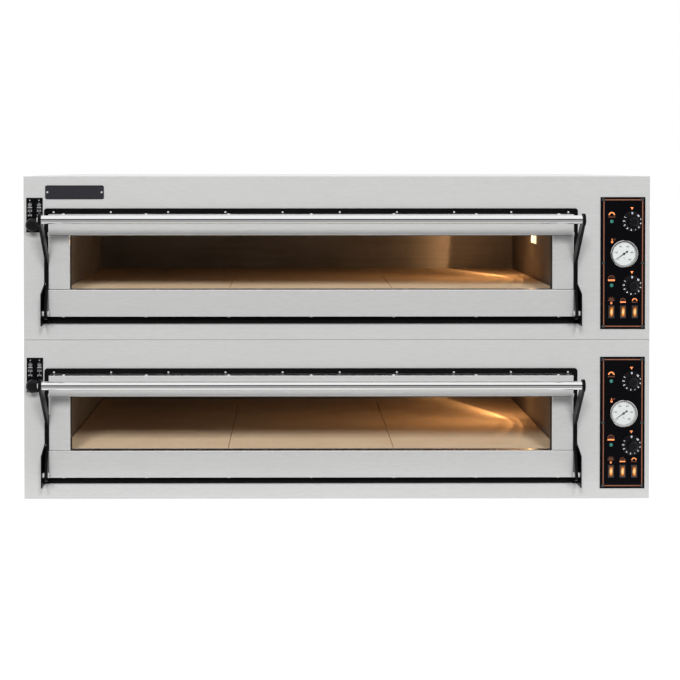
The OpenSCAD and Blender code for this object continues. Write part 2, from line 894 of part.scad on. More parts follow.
// Controls
module at_control_screws() {
    at_controls() for (x = [-1, 1], z = [-1, 0, 1])
        translate([x * control_screw_x, z * control_screw_z, control_t]) children();
}

module at_switches() {
    for (p = switch_at) at_controls() translate(p) children();
}

module control_plates() {
    color(black) on_decks() difference() {
        at_controls() linear_extrude(control_t) difference() {
            square([control_w, control_h], center = true);
            for (p = knob_at) translate(p) circle(d = bush_d + 2 * bush_clear);
            for (p = pilot_at) translate(p) circle(d = pilot_hole_d);
            translate(gauge_at) circle(r = gauge_case_r + gauge_fit);
            for (p = switch_at) translate(p) square(switch_cut, center = true);
        }
        at_control_screws() screw_hole(small_screw_d, control_t + 1);
    }
}

// A small screw through trim of thickness t and the front panel
module small_screw(head_d, t) {
    screw(small_screw_d, head_d, small_head_h, t + sheet_t + trim_screw_grip);
}

module trim_screws() {
    color([0.2, 0.2, 0.21]) {
        on_decks() {
            at_surround_screws() small_screw(small_head_d, surround_t);
            at_bracket_screws() small_screw(small_head_d, bracket_t + surround_t);
            at_control_screws() small_screw(trim_head_d, control_t);
        }
        on_deck(1) at_name_rivets() small_screw(small_head_d, name_t);
    }
}

module thermostats() {
    color([0.85, 0.83, 0.78]) on_decks() for (p = knob_at) at_controls() translate(p) difference() {
        union() {
            translate([-thermostat_w / 2, -thermostat_w / 2, -thermostat_l])
                cube([thermostat_w, thermostat_w, thermostat_l]);
            cylinder(d = bush_d, h = control_t);
        }
        translate([0, 0, -spindle_l - 1])
            cylinder(d = spindle_d + 2 * turn_clear, h = spindle_l + control_t + 2);
    }
}

// A heat knob with its spindle: numbered skirt, round grip and pointer rib
module heat_knob(k, p) {
    foot = control_t + knob_lift;
    grip_r = grip_d / 2;
    color(black) on_deck(k) at_controls() translate(p) {
        rotate_extrude() polygon([
            [0, foot], [knob_d / 2, foot], [knob_d / 2, foot + skirt_h - skirt_slope],
            [grip_r + 3, foot + skirt_h], [grip_r, foot + skirt_h],
            [grip_r - grip_round, knob_h + control_t - grip_round],
            [grip_r - 2 * grip_round, knob_h + control_t], [0, knob_h + control_t]
        ]);
        translate([-pointer_w / 2, 0, foot + skirt_h - skirt_slope])
            cube([pointer_w, grip_r + 1, knob_h - knob_lift - skirt_h]);
        translate([0, 0, -spindle_l]) cylinder(d = spindle_d, h = spindle_l + foot);
    }
}

module gauge_cases() {
    color(bright_steel) on_decks() at_controls() translate(gauge_at) rotate_extrude() polygon([
        [0, -gauge_case_l], [gauge_case_r, -gauge_case_l], [gauge_case_r, control_t], [gauge_r, control_t],
        [gauge_r, control_t + gauge_h - gauge_lip], [gauge_r - gauge_lip, control_t + gauge_h],
        [gauge_lip_r, control_t + gauge_h], [gauge_lip_r, glass_seat + gauge_glass_t],
        [gauge_glass_r + gauge_fit, glass_seat + gauge_glass_t], [gauge_glass_r + gauge_fit, glass_seat],
        [gauge_well_r, glass_seat], [gauge_well_r, dial_seat], [gauge_cup_r, dial_seat],
        [gauge_cup_r, gauge_wall - gauge_case_l], [gauge_pin_d / 2, gauge_wall - gauge_case_l],
        [gauge_pin_d / 2, needle_z + needle_t], [0, needle_z + needle_t]
    ]);
}

module gauge_dials() {
    color([0.9, 0.9, 0.88]) on_decks() at_controls() translate([gauge_at[0], gauge_at[1], dial_seat])
        linear_extrude(dial_t) difference() {
            circle(r = gauge_well_r - gauge_fit);
            circle(d = gauge_pin_d + 1);
        }
}

module gauge_glasses() {
    color([0.8, 0.9, 0.9]) on_decks() at_controls() translate([gauge_at[0], gauge_at[1], glass_seat])
        cylinder(r = gauge_glass_r, h = gauge_glass_t);
}

module gauge_needle(k) {
    color(black) on_deck(k) at_controls() translate([gauge_at[0], gauge_at[1], needle_z])
        rotate([0, 0, -needle_rest]) linear_extrude(needle_t) difference() {
            union() {
                circle(d = needle_hub_d);
                polygon([[-0.9, 0], [0.9, 0], [0.25, needle_l], [-0.25, needle_l]]);
                translate([-0.7, -needle_tail]) square([1.4, needle_tail]);
                translate([0, -needle_tail]) circle(d = needle_weight_d);
            }
            circle(d = gauge_pin_d + 2 * turn_clear);
        }
}

module pilot_lamps() {
    r = pilot_d / 2;
    top = control_t + pilot_h;
    color([0.2, 0.65, 0.5]) on_decks() for (p = pilot_at) at_controls() translate(p)
        rotate_extrude() polygon([
            [0, -pilot_l], [pilot_body_d / 2, -pilot_l], [pilot_body_d / 2, control_t], [r, control_t],
            [r, top - pilot_h / 2], [r - pilot_h / 2, top], [0, top]
        ]);
}

module switch_housings() {
    slot = [rocker_w + 2 * rocker_side, rocker_h + 2 * rocker_end];
    rim = [switch_w, switch_h] + 2 * [switch_rim, switch_rim];
    color(black) on_decks() at_switches() difference() {
        union() {
            translate([0, 0, -switch_l]) linear_extrude(switch_l + control_t)
                square([switch_w, switch_h], center = true);
            translate([0, 0, control_t]) linear_extrude(switch_rim_h) square(rim, center = true);
        }
        translate([0, 0, switch_wall - switch_l]) linear_extrude(switch_l + control_t + switch_rim_h)
            square(slot, center = true);
        translate([-switch_w / 2 - 1, 0, rocker_pivot]) rotate([0, 90, 0])
            cylinder(d = trunnion_d + 2 * turn_clear, h = switch_w + 2);
    }
}

// A lit rocker on its two trunnions, tilted to the position that it rests in
module rocker(k, p) {
    end = rocker_h / 2 + 1;
    trunnion_l = rocker_w + 2 * rocker_side + 1.6 * switch_wall;
    color([1, 0.6, 0.15]) on_deck(k) at_controls() translate([p[0], p[1], rocker_pivot])
        rotate([rocker_tilt, 0, 0]) {
            intersection() {
                across(-rocker_w / 2, rocker_w) polygon([
                    [-end, -rocker_back], [end, -rocker_back], [end, rocker_rise],
                    [0, rocker_rise - rocker_dip], [-end, rocker_rise]
                ]);
                across_bar([0, 0], rocker_h, -rocker_w / 2 - 1, rocker_w + 2);
            }
            across_bar([0, 0], trunnion_d, -trunnion_l / 2, trunnion_l);
        }
}

// Damper
module damper_plates() {
    color(black) on_decks() at_damper() linear_extrude(damper_t) difference() {
        translate([-damper_w / 2, -damper_below]) square([damper_w, damper_h]);
        circle(d = rod_d + 2 * rod_clear);
    }
}

module damper_knob(k) {
    r = damper_knob_d / 2;
    top = damper_rest + damper_knob_h;
    bore_r = rod_d / 2 + rod_clear;
    color(black) on_deck(k) at_damper() rotate_extrude() polygon([
        [bore_r, damper_rest], [knob_foot_d / 2, damper_rest], [knob_stem_d / 2, damper_rest + 7],
        [knob_stem_d / 2, damper_rest + 14], [r - 2, damper_rest + 18], [r, damper_rest + 21],
        [r, top - 6], [r - 2, top - 2], [r - 5, top], [0, top], [0, damper_rest + rod_socket],
        [bore_r, damper_rest + rod_socket]
    ]);
}

// The rod with the valve disc that closes the vapour outlet
module damper_rod(k) {
    disc_y = flue_seat - valve_gap - valve_t;
    color(bright_steel) on_deck(k) at_damper() {
        translate([0, 0, -disc_y]) cylinder(d = rod_d, h = disc_y + damper_rest + rod_socket);
        translate([0, 0, -disc_y - valve_t]) cylinder(d = valve_d, h = valve_t);
    }
}

module flue_ducts() {
    skin = [flue_t, flue_t, flue_t];
    lo = [flue_x0, flue_y0, flue_z0];
    hi = [flue_x1, rear_in, flue_z1];
    color(bright_steel) on_decks() difference() {
        union() {
            box(lo, hi);
            at_damper() translate([0, 0, -spigot_end]) cylinder(d = spigot_d, h = spigot_end - flue_seat);
        }
        box(lo + skin, hi - skin);
        at_damper() translate([0, 0, -spigot_end - 1])
            cylinder(d = spigot_bore, h = spigot_end + 2 - flue_seat);
        at_damper() translate([0, 0, -flue_y0 - flue_t - 1])
            cylinder(d = rod_d + 2 * rod_clear, h = flue_t + 2);
        across(flue_x1 - flue_t - 1, flue_t + 2) rect(neck_lo, neck_hi);
    }
}

module cable_gland() {
    inside = -sheet_t - gland_hex_h;
    color(black) in_frame() translate([gland_x, body_d, gland_z]) rotate([-90, 0, 0]) difference() {
        union() {
            translate([0, 0, inside]) cylinder(d = gland_thread_d, h = -inside);
            cylinder(d = gland_hex_d, h = gland_hex_h, $fn = 6);
            translate([0, 0, gland_hex_h]) cylinder(d = gland_thread_d, h = gland_cap_l);
            translate([0, 0, inside]) cylinder(d = gland_hex_d, h = gland_hex_h, $fn = 6);
        }
        translate([0, 0, inside - 1]) cylinder(d = gland_bore, h = gland_hex_h + gland_cap_l - inside + 2);
    }
}

// Hinges
module at_bracket_screws() {
    at_door_sides() for (z = [pivot[1] - bracket_screw_low, pivot[1] + bracket_screw_high])
        translate([bracket_screw_x, -surround_t - bracket_t, z]) facing() children();
}

module hinge_brackets() {
    z0 = pivot[1] - bracket_drop;
    z1 = pivot[1] + bracket_rise;
    color(black) on_decks() difference() {
        at_door_sides() difference() {
            union() {
                across(bracket_x - bracket_t, bracket_t) polygon([
                    [-surround_t, z0], [pivot[0] - bracket_nose, z0],
                    [pivot[0] - bracket_nose, pivot[1] + bracket_front_rise], [-surround_t, z1]
                ]);
                box([bracket_x - bracket_t, -surround_t - bracket_t, z0],
                    [bracket_x - bracket_t + bracket_foot, -surround_t, z1]);
            }
            across_bar(pivot, hinge_pin_d + 2 * hinge_clear, bracket_x - bracket_t - 1, bracket_t + 2);
        }
        at_bracket_screws() screw_hole(small_screw_d, bracket_t + 1);
    }
}

module hinge_pins() {
    head_x = bracket_x - bracket_t;
    color(bright_steel) on_decks() at_door_sides() {
        across_bar(pivot, pin_head_d, head_x - pin_head_h, pin_head_h);
        across_bar(pivot, hinge_pin_d, head_x, -head_x + pin_side_clear);
        across_bar(pivot, pin_shoulder_d, bracket_x, arm_space - pin_side_clear);
        translate([pin_side_clear, pivot[0], pivot[1]]) rotate([0, 90, 0])
            cylinder(d = pin_head_d, h = pin_nut_h, $fn = 6);
    }
}

// Door
module door_edge_holes() {
    at_door_edge_screws() screw_hole(door_screw_d, door_screw_l);
    at_door_sides() at_arm_screws() screw_hole(door_screw_d, arm_t + door_screw_l);
    at_door_sides() at_side_screw() screw_hole(door_screw_d, door_screw_l);
}

module at_door_edge_screws() {
    for (i = [0 : door_screw_n - 1]) {
        x = door_x0 + door_screw_edge + i * door_screw_pitch;
        translate([x, edge_screw_y, door_top]) children();
        translate([x, edge_screw_y, door_z]) mirror([0, 0, 1]) children();
    }
}

module at_arm_screws() {
    for (p = [arm_path[1], arm_path[2]])
        translate([-arm_t, p[0], p[1]]) rotate([0, -90, 0]) children();
}

module at_side_screw() {
    translate([0, edge_screw_y, door_z + side_screw_z]) rotate([0, -90, 0]) children();
}

module door_frame(k) {
    lo = [door_x0, door_z];
    hi = [door_x1, door_top];
    skin = [door_sheet, door_sheet];
    color(steel) on_deck(k) difference() {
        union() {
            translate([0, door_face + door_sheet, 0]) facing() linear_extrude(door_sheet)
                frame_2d(lo, hi, window_lo, window_hi);
            translate([0, liner_face, 0]) facing() linear_extrude(liner_face - door_face)
                frame_2d(lo, hi, lo + skin, hi - skin);
            translate([0, glass_face, 0]) facing() linear_extrude(glass_face - door_face)
                frame_2d(window_lo - skin, window_hi + skin, window_lo, window_hi);
        }
        door_edge_holes();
    }
}

module door_liner(k) {
    lo = [door_x0, door_z];
    hi = [door_x1, door_top];
    skin = [door_sheet, door_sheet];
    color(steel) on_deck(k) difference() {
        union() {
            translate([0, door_back, 0]) facing() linear_extrude(door_sheet)
                frame_2d(lo, hi, window_lo, window_hi);
            translate([0, liner_face, 0]) facing() linear_extrude(liner_flange)
                frame_2d(lo + skin, hi - skin, lo + 2 * skin, hi - 2 * skin);
        }
        door_edge_holes();
    }
}

module door_glass(k) {
    rim = [glass_rim, glass_rim];
    color([0.75, 0.8, 0.78, 0.4]) on_deck(k) translate([0, liner_face, 0]) facing() linear_extrude(glass_t)
        rect(window_lo - rim, window_hi + rim);
}

module door_screws(k) {
    color(bright_steel) on_deck(k) {
        at_door_edge_screws() screw(door_screw_d, door_head_d, door_head_h, door_screw_l);
        at_door_sides() {
            at_arm_screws() screw(door_screw_d, door_head_d, door_head_h, arm_t + door_screw_l);
            at_side_screw() screw(door_screw_d, door_head_d, door_head_h, door_screw_l);
        }
    }
}

module handle_arms(k) {
    color(black) on_deck(k) at_door_sides() difference() {
        union() {
            across(-arm_t, arm_t) polygon(strip(arm_path, arm_w));
            across_bar(pivot, pivot_boss_d, -arm_t, arm_t);
            across_bar(bar_axis, bar_boss_d, -arm_t, arm_t);
            across_bar(bar_axis, bar_d - 2 * bar_wall - 2 * spigot_fit, -arm_t, arm_t + bar_spigot_l);
        }
        across_bar(pivot, hinge_pin_d + 2 * hinge_clear, -arm_t - 1, arm_t + 2);
        at_arm_screws() screw_hole(door_screw_d, arm_t + 1);
    }
}

module handle_bar(k) {
    color(bright_steel) on_deck(k) difference() {
        across_bar(bar_axis, bar_d, door_x0, door_w);
        across_bar(bar_axis, bar_d - 2 * bar_wall, door_x0 - 1, door_w + 2);
    }
}

base_tray();
feet();
left_side_panel();
right_side_panel();
rear_panel();
top_panel();
deck_divider();
upper_front_panel();
lower_front_panel();
name_plate();
casing_screws();
door_surrounds();
door_seals();
chamber_liners();
insulation();
baking_stones();
heating_elements();
lamp_holders();
lamp_lenses();
control_plates();
trim_screws();
thermostats();
gauge_cases();
gauge_dials();
gauge_glasses();
pilot_lamps();
switch_housings();
damper_plates();
hinge_brackets();
hinge_pins();
flue_ducts();
cable_gland();
door_frame(1);  // upper_door_frame
door_liner(1);  // upper_door_liner
door_glass(1);  // upper_door_glass
handle_bar(1);  // upper_handle_bar
handle_arms(1);  // upper_handle_arms
door_screws(1);  // upper_door_screws
damper_knob(1);  // upper_damper_knob
damper_rod(1);  // upper_damper_rod
heat_knob(1, knob_at[0]);  // upper_top_heat_knob
heat_knob(1, knob_at[1]);  // upper_base_heat_knob
rocker(1, switch_at[0]);  // upper_light_switch
rocker(1, switch_at[1]);  // upper_base_switch
rocker(1, switch_at[2]);  // upper_top_switch
gauge_needle(1);  // upper_gauge_needle
door_frame(0);  // lower_door_frame
door_liner(0);  // lower_door_liner
door_glass(0);  // lower_door_glass
handle_bar(0);  // lower_handle_bar
handle_arms(0);  // lower_handle_arms
door_screws(0);  // lower_door_screws
damper_knob(0);  // lower_damper_knob
damper_rod(0);  // lower_damper_rod
heat_knob(0, knob_at[0]);  // lower_top_heat_knob
heat_knob(0, knob_at[1]);  // lower_base_heat_knob
rocker(0, switch_at[0]);  // lower_light_switch
rocker(0, switch_at[1]);  // lower_base_switch
rocker(0, switch_at[2]);  // lower_top_switch
gauge_needle(0);  // lower_gauge_needle
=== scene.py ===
import json
import math

import bpy
from mathutils import Matrix, Vector

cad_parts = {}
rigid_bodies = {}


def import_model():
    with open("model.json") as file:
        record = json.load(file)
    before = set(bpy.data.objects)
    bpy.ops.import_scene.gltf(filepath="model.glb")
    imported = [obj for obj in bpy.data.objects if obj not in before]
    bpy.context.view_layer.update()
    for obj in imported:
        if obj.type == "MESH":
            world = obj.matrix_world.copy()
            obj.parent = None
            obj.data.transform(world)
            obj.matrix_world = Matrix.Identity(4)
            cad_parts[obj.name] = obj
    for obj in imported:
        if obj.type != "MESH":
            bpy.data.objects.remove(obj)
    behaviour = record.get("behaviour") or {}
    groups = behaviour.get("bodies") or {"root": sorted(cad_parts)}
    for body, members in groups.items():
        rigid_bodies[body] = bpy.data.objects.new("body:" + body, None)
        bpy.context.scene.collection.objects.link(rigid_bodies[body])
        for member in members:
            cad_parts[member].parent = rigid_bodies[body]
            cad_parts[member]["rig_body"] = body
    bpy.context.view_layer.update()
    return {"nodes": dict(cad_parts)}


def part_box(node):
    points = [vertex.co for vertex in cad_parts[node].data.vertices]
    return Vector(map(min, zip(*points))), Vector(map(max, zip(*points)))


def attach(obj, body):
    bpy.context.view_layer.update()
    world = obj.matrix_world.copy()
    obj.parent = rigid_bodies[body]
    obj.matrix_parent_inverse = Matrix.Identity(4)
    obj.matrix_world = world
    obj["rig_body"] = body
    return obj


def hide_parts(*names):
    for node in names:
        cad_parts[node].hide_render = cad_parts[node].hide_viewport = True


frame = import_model()


# The place it is shown in: a white table top that runs on into a white room, with two soft lamps high up
# in front of the oven. Two grey cards, one standing and one lying, show only as reflections in its metal.
# The camera stands straight in front of the oven, level with its top.
class Wire:
    """A socket in a node tree. Sums on it add Math nodes, and node() adds a node of any other kind."""

    def __init__(self, tree, socket=None):
        self.tree, self.socket = tree, socket

    def node(self, kind, sockets=None, out=0, stops=None, **settings):
        made = self.tree.nodes.new("ShaderNode" + kind)
        for name, value in settings.items():
            setattr(made, name, value)
        if stops:
            marks = made.color_ramp.elements
            marks.remove(marks[1])
            marks[0].position, marks[0].color = stops[0][0], (*stops[0][1], 1.0)
            for position, colour in stops[1:]:
                marks.new(position).color = (*colour, 1.0)
        self.feed(made, sockets or {})
        return Wire(self.tree, made.outputs[out])

    def feed(self, made, sockets):
        for key, value in sockets.items():
            socket = made.inputs[key]
            if isinstance(value, Wire):
                self.tree.links.new(value.socket, socket)
            else:
                socket.default_value = (*value, 1.0) if socket.type == "RGBA" else value

    def sum(self, operation, first, second=0.0):
        return self.node("Math", {0: first, 1: second}, operation=operation)

    def __add__(self, other):
        return self.sum("ADD", self, other)

    def __sub__(self, other):
        return self.sum("SUBTRACT", self, other)

    def __rsub__(self, other):
        return self.sum("SUBTRACT", other, self)

    def __mul__(self, other):
        return self.sum("MULTIPLY", self, other)

    def __abs__(self):
        return self.sum("ABSOLUTE", self)

    __radd__, __rmul__ = __add__, __mul__

    def fade(self, start, end):
        """0 before start, 1 after end, and smooth between them."""
        ends = {"Value": self, "From Min": start, "From Max": end}
        return self.node("MapRange", ends, interpolation_type="SMOOTHSTEP")

    def tint(self, low, high):
        """The colour low where this is 0, and high where it is 1."""
        return self.node("Mix", {0: self, 6: low, 7: high}, out=2, data_type="RGBA")

    def noise(self, scale, detail=2.0, rough=0.5):
        """Cloudy noise on these coordinates, from 0 to 1."""
        return self.node("TexNoise", {"Vector": self, "Scale": scale, "Detail": detail, "Roughness": rough})

    def stretched(self, scale):
        """These coordinates scaled along each axis."""
        return self.node("Mapping", {"Vector": self, "Scale": scale})


def seen_rays(tree):
    """1 for the rays that see the room: the camera's, and those in metal and through glass."""
    kinds = ("Is Camera Ray", "Is Glossy Ray", "Is Transmission Ray")
    camera, glossy, through = (Wire(tree).node("LightPath", out=kind) for kind in kinds)
    return camera.sum("MINIMUM", camera + glossy + through, 1.0)


scene = bpy.context.scene
scene.view_settings.view_transform = "Standard"

ROOM_FILL = 0.30
room = bpy.data.worlds.new("white_room")
room.use_nodes = True
scene.world = room
shown = seen_rays(room.node_tree)
sky = {"Color": (1.0, 1.0, 1.0), "Strength": ROOM_FILL + shown * (1.0 - ROOM_FILL)}
shown.feed(room.node_tree.nodes["Background"], sky)

TABLE_SIZE, TABLE_GREY, TABLE_GLOW, GLOW_SHARE = 60.0, 0.5, 1.33, 0.74
bpy.ops.object.select_all(action="DESELECT")
bpy.ops.mesh.primitive_plane_add(size=TABLE_SIZE)
table = bpy.context.object
table.name = "white_table"
table_white = bpy.data.materials.new("white_table")
table_white.use_nodes = True
shown = seen_rays(table_white.node_tree)
lit = shown.node("BsdfDiffuse", {"Color": (TABLE_GREY, TABLE_GREY, TABLE_GREY)})
glow = shown.node("Emission", {"Color": (1.0, 1.0, 1.0), "Strength": TABLE_GLOW})
top = shown.node("MixShader", {0: shown * GLOW_SHARE, 1: lit, 2: glow})
shown.feed(table_white.node_tree.nodes["Material Output"], {"Surface": top})
table.data.materials.append(table_white)

panel_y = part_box("lower_front_panel")[0].y
base_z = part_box("base_tray")[0].z
LAMP_SIZE, LAMP_POWER = 1.8, 1230.0
LAMP_ASIDE, LAMP_AHEAD, LAMP_HEIGHT, AIM_HEIGHT = 1.8, 11.04, 5.27, 0.355
lamp_aim = Vector((0.0, panel_y, base_z + AIM_HEIGHT))
for side, x in (("left", -LAMP_ASIDE), ("right", LAMP_ASIDE)):
    place = Vector((x, panel_y - LAMP_AHEAD, base_z + LAMP_HEIGHT))
    bpy.ops.object.light_add(type="AREA", location=place)
    softbox = bpy.context.object
    softbox.name = side + "_softbox"
    softbox.data.energy, softbox.data.size = LAMP_POWER, LAMP_SIZE
    softbox.rotation_euler = (lamp_aim - place).to_track_quat("-Z", "Y").to_euler()
    softbox.visible_glossy = False

CARDS = (
    ("standing_card", 0.05, (0.0, -5.2, 1.3), math.pi / 2, (12.0, 2.6, 1.0)),
    ("lying_card", 0.42, (0.0, -2.85, 0.004), 0.0, (9.0, 4.5, 1.0)),
)
for name, grey, place, lean, size in CARDS:
    card_grey = bpy.data.materials.new(name)
    card_grey.use_nodes = True
    dim = Wire(card_grey.node_tree).node("Emission", {"Color": (1.0, 1.0, 1.0), "Strength": grey})
    dim.feed(card_grey.node_tree.nodes["Material Output"], {"Surface": dim})
    bpy.ops.object.select_all(action="DESELECT")
    bpy.ops.mesh.primitive_plane_add(size=1.0, location=place, rotation=(lean, 0.0, 0.0))
    card = bpy.context.object
    card.name, card.scale = name, size
    card.data.materials.append(card_grey)
    card.visible_camera = card.visible_shadow = card.visible_diffuse = card.visible_transmission = False

EYE_ASIDE, EYE_AHEAD, EYE_HEIGHT = -0.1035, 3.3593, 0.73
LOOK_DOWN, LOOK_RIGHT = math.radians(0.904), math.radians(0.2946)
LENS, SENSOR, SHIFT_X, SHIFT_Y = 81.37, 36.0, 0.06225, -0.2206
bpy.ops.object.camera_add(
    location=(EYE_ASIDE, panel_y - EYE_AHEAD, base_z + EYE_HEIGHT),
    rotation=(math.pi / 2 - LOOK_DOWN, 0.0, -LOOK_RIGHT))
camera = bpy.context.object
camera.data.lens, camera.data.sensor_width = LENS, SENSOR
camera.data.shift_x, camera.data.shift_y = SHIFT_X, SHIFT_Y
scene.camera = camera


# Feet and base tray: four black rubber feet screwed under a tray of stainless sheet with folded edges.
# The tray carries the lower deck and takes the side and rear panels' lowest row of screws.
MM = 0.001


def new_finish(name):
    """A new material and its object coordinates."""
    material = bpy.data.materials.new(name)
    material.use_nodes = True
    return material, Wire(material.node_tree).node("TexCoord", out="Object")


def surface(place, sockets, relief=None, depth=0.0):
    """Sets the finish's shader, with a relief of that depth in metres."""
    if relief:
        bump = place.node("Bump", {"Strength": 1.0, "Distance": depth, "Height": relief})
        sockets = dict(sockets, Normal=bump)
    place.feed(place.tree.nodes["Principled BSDF"], sockets)


def brushed(name, dark, light, grain, rough, streaks=0.1, fold_highlight=0.0):
    """Brushed sheet: fine scratches stretched along the grain, cloudy patches, and smoother folds painted
    brighter as a highlight.
    """
    finish, place = new_finish(name)
    scratches = place.stretched(grain).noise(1.0, 4.0, 0.65)
    bands = place.stretched([step * 0.13 for step in grain]).noise(1.0, 3.0)
    clouds = place.noise(2.5, 3.0)
    tone = scratches * (0.9 - streaks) + bands * streaks + clouds * 0.1
    colour, metal, rough = tone.fade(0.2, 0.8).tint(dark, light), 0.5, rough - 0.06 + scratches * 0.12
    # Faces turned away from the front, the folds and bends, get a painted highlight: their colour is
    # lightened towards a bright grey. They are also made smoother and more metallic.
    if fold_highlight:
        normal = place.node("TexCoord", out="Normal")
        fold_highlight_mask = (1.0 - abs(normal.node("SeparateXYZ", {0: normal}, out="Y"))).fade(0.03, 0.4)
        colour = fold_highlight_mask.tint(colour, (fold_highlight, fold_highlight, fold_highlight))
        metal, rough = 0.5 + fold_highlight_mask * 0.5, rough - fold_highlight_mask * 0.2
    surface(place, {
        "Base Color": colour,
        "Metallic": metal,
        "Roughness": rough,
    }, scratches, 0.00001)
    return finish


def coat(finish, *nodes):
    """Gives CAD nodes that stay as they are their finish."""
    for name in nodes:
        node = frame["nodes"][name]
        if not node.material_slots:
            node.data.materials.append(finish)
        for slot in node.material_slots:
            slot.material = finish


def edit(*steps):
    """Runs edit-mode steps on the active piece."""
    bpy.ops.object.mode_set(mode="EDIT")
    for step in steps:
        step()
    bpy.ops.object.mode_set(mode="OBJECT")


def pick(*pieces):
    """Makes these the only selected objects, the first one active."""
    bpy.ops.object.select_all(action="DESELECT")
    for piece in pieces:
        piece.select_set(True)
    bpy.context.view_layer.objects.active = pieces[0]


def copied(node, name):
    """A copy of a CAD node with its triangles merged into whole faces."""
    piece = bpy.data.objects.new(name, frame["nodes"][node].data.copy())
    scene.collection.objects.link(piece)
    pick(piece)
    bpy.ops.mesh.customdata_custom_splitnormals_clear()
    edit(
        lambda: bpy.ops.mesh.select_all(action="SELECT"),
        lambda: bpy.ops.mesh.remove_doubles(threshold=1e-6),
        lambda: bpy.ops.mesh.dissolve_limited(angle_limit=math.radians(0.5)),
    )
    return piece


def round_edges(piece, radius, segments=2, corner=35):
    """Rounds every edge sharper than the corner angle."""
    pick(piece)
    bpy.ops.object.shade_smooth()
    edge = piece.modifiers.new("edge", "BEVEL")
    edge.width, edge.segments, edge.harden_normals = radius, segments, True
    edge.limit_method, edge.angle_limit = "ANGLE", math.radians(corner)
    bpy.ops.object.modifier_apply(modifier="edge")
    return piece


def fit(piece, finish, slot, body, *nodes):
    """Finishes a piece, mounts it on its body and lets it stand for its CAD nodes."""
    piece.data.materials.clear()
    piece.data.materials.append(finish)
    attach(piece, body)
    if nodes:
        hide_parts(*nodes)
    return piece


def eased(node, radius, finish, slot, segments=2):
    """A copy of a CAD node with its edges rounded, which stands for it."""
    piece = round_edges(copied(node, node + "_eased"), radius, segments)
    return fit(piece, finish, slot, frame["nodes"][node]["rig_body"], node)


STEEL_DARK, STEEL_LIGHT = (0.48, 0.48, 0.477), (0.575, 0.575, 0.571)
steel = brushed("brushed_steel", STEEL_DARK, STEEL_LIGHT, (60.0, 60.0, 1400.0), 0.5)

rubber, place = new_finish("foot_rubber")
dust = place.noise(60.0, 4.0)
surface(place, {
    "Base Color": dust.tint((0.010, 0.010, 0.010), (0.030, 0.029, 0.028)),
    "Roughness": 0.6 + dust * 0.25,
}, place.noise(900.0), 0.00005)

coat(steel, "base_tray", "deck_divider")
eased("feet", 1.2 * MM, rubber, "foot_rubber", 3)


# Casing: side, rear and top panels of brushed stainless sheet, screwed to the tray's flanges.
# The right side and the rear have rows of punched cooling slots for the control space.
top_steel = brushed("brushed_steel_top", STEEL_DARK, STEEL_LIGHT, (60.0, 1400.0, 60.0), 0.14)
eased("left_side_panel", 0.6 * MM, steel, "stainless")
eased("right_side_panel", 0.6 * MM, steel, "stainless")
eased("rear_panel", 0.6 * MM, steel, "stainless")
eased("top_panel", 0.6 * MM, top_steel, "stainless")


# Vapour outlets and cable gland: a folded duct behind each chamber ends in a tube through the rear panel.
# The gland is black nylon, screwed into the rear panel low down on the control side.
black_nylon, place = new_finish("black_nylon")
grain = place.noise(700.0, 2.0)
surface(place, {
    "Base Color": grain.tint((0.008, 0.008, 0.009), (0.017, 0.017, 0.0185)),
    "Specular IOR Level": 0.3,
    "Roughness": 0.36 + grain * 0.14,
}, grain, 0.00002)

duct_steel = brushed("duct_steel", (0.46, 0.45, 0.44), (0.58, 0.57, 0.56), (30.0, 600.0, 600.0), 0.34)
eased("flue_ducts", 0.4 * MM, duct_steel, "stainless")
eased("cable_gland", 0.6 * MM, black_nylon, "black_plastic")


# Front panels: one sheet of brushed stainless per deck, cut out for the oven's mouth and the controls.
# They meet in a fine seam just under the upper deck.
def block(name, low, high):
    """A box between two corners, with its place in its mesh."""
    bpy.ops.object.select_all(action="DESELECT")
    bpy.ops.mesh.primitive_cube_add(size=1.0, location=(low + high) / 2, scale=high - low)
    piece = bpy.context.object
    piece.name = piece.data.name = name
    bpy.ops.object.transform_apply(location=True, rotation=True, scale=True)
    return piece


def cut(piece, cutter):
    """Cuts one piece out of another."""
    pick(piece)
    knife = piece.modifiers.new("cut", "BOOLEAN")
    knife.operation, knife.object, knife.solver = "DIFFERENCE", cutter, "EXACT"
    bpy.ops.object.modifier_apply(modifier="cut")
    bpy.data.objects.remove(cutter)


decks = ("lower", "upper")
deck_base = {"lower": base_z, "upper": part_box("deck_divider")[0].z}


def spot(deck, x, y, z):
    """A point in millimetres: across, behind the front panel's face, above the deck's base."""
    return Vector((x * MM, panel_y + y * MM, deck_base[deck] + z * MM))


MOUTH_X, MOUTH_Z = (-606.0, 492.5), (100.0, 246.0)
CONTROL_X, CONTROL_Z = 625.5, 167.0
CONTROL_CUT_X, CONTROL_CUT_Z = (CONTROL_X - 38.0, CONTROL_X + 38.0), (CONTROL_Z - 131.0, CONTROL_Z + 131.0)
CUT_DEPTH = 9.0
for deck in decks:
    low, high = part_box(deck + "_front_panel")
    sheet = block(deck + "_front_sheet", low, high)
    for name, (left, right), (bottom, top) in (
            ("mouth", MOUTH_X, MOUTH_Z), ("control_space", CONTROL_CUT_X, CONTROL_CUT_Z)):
        cut(sheet, block(name, spot(deck, left, -CUT_DEPTH, bottom), spot(deck, right, CUT_DEPTH, top)))
    round_edges(sheet, 0.7 * MM, 3)
    fit(sheet, steel, "stainless", "casing", deck + "_front_panel")


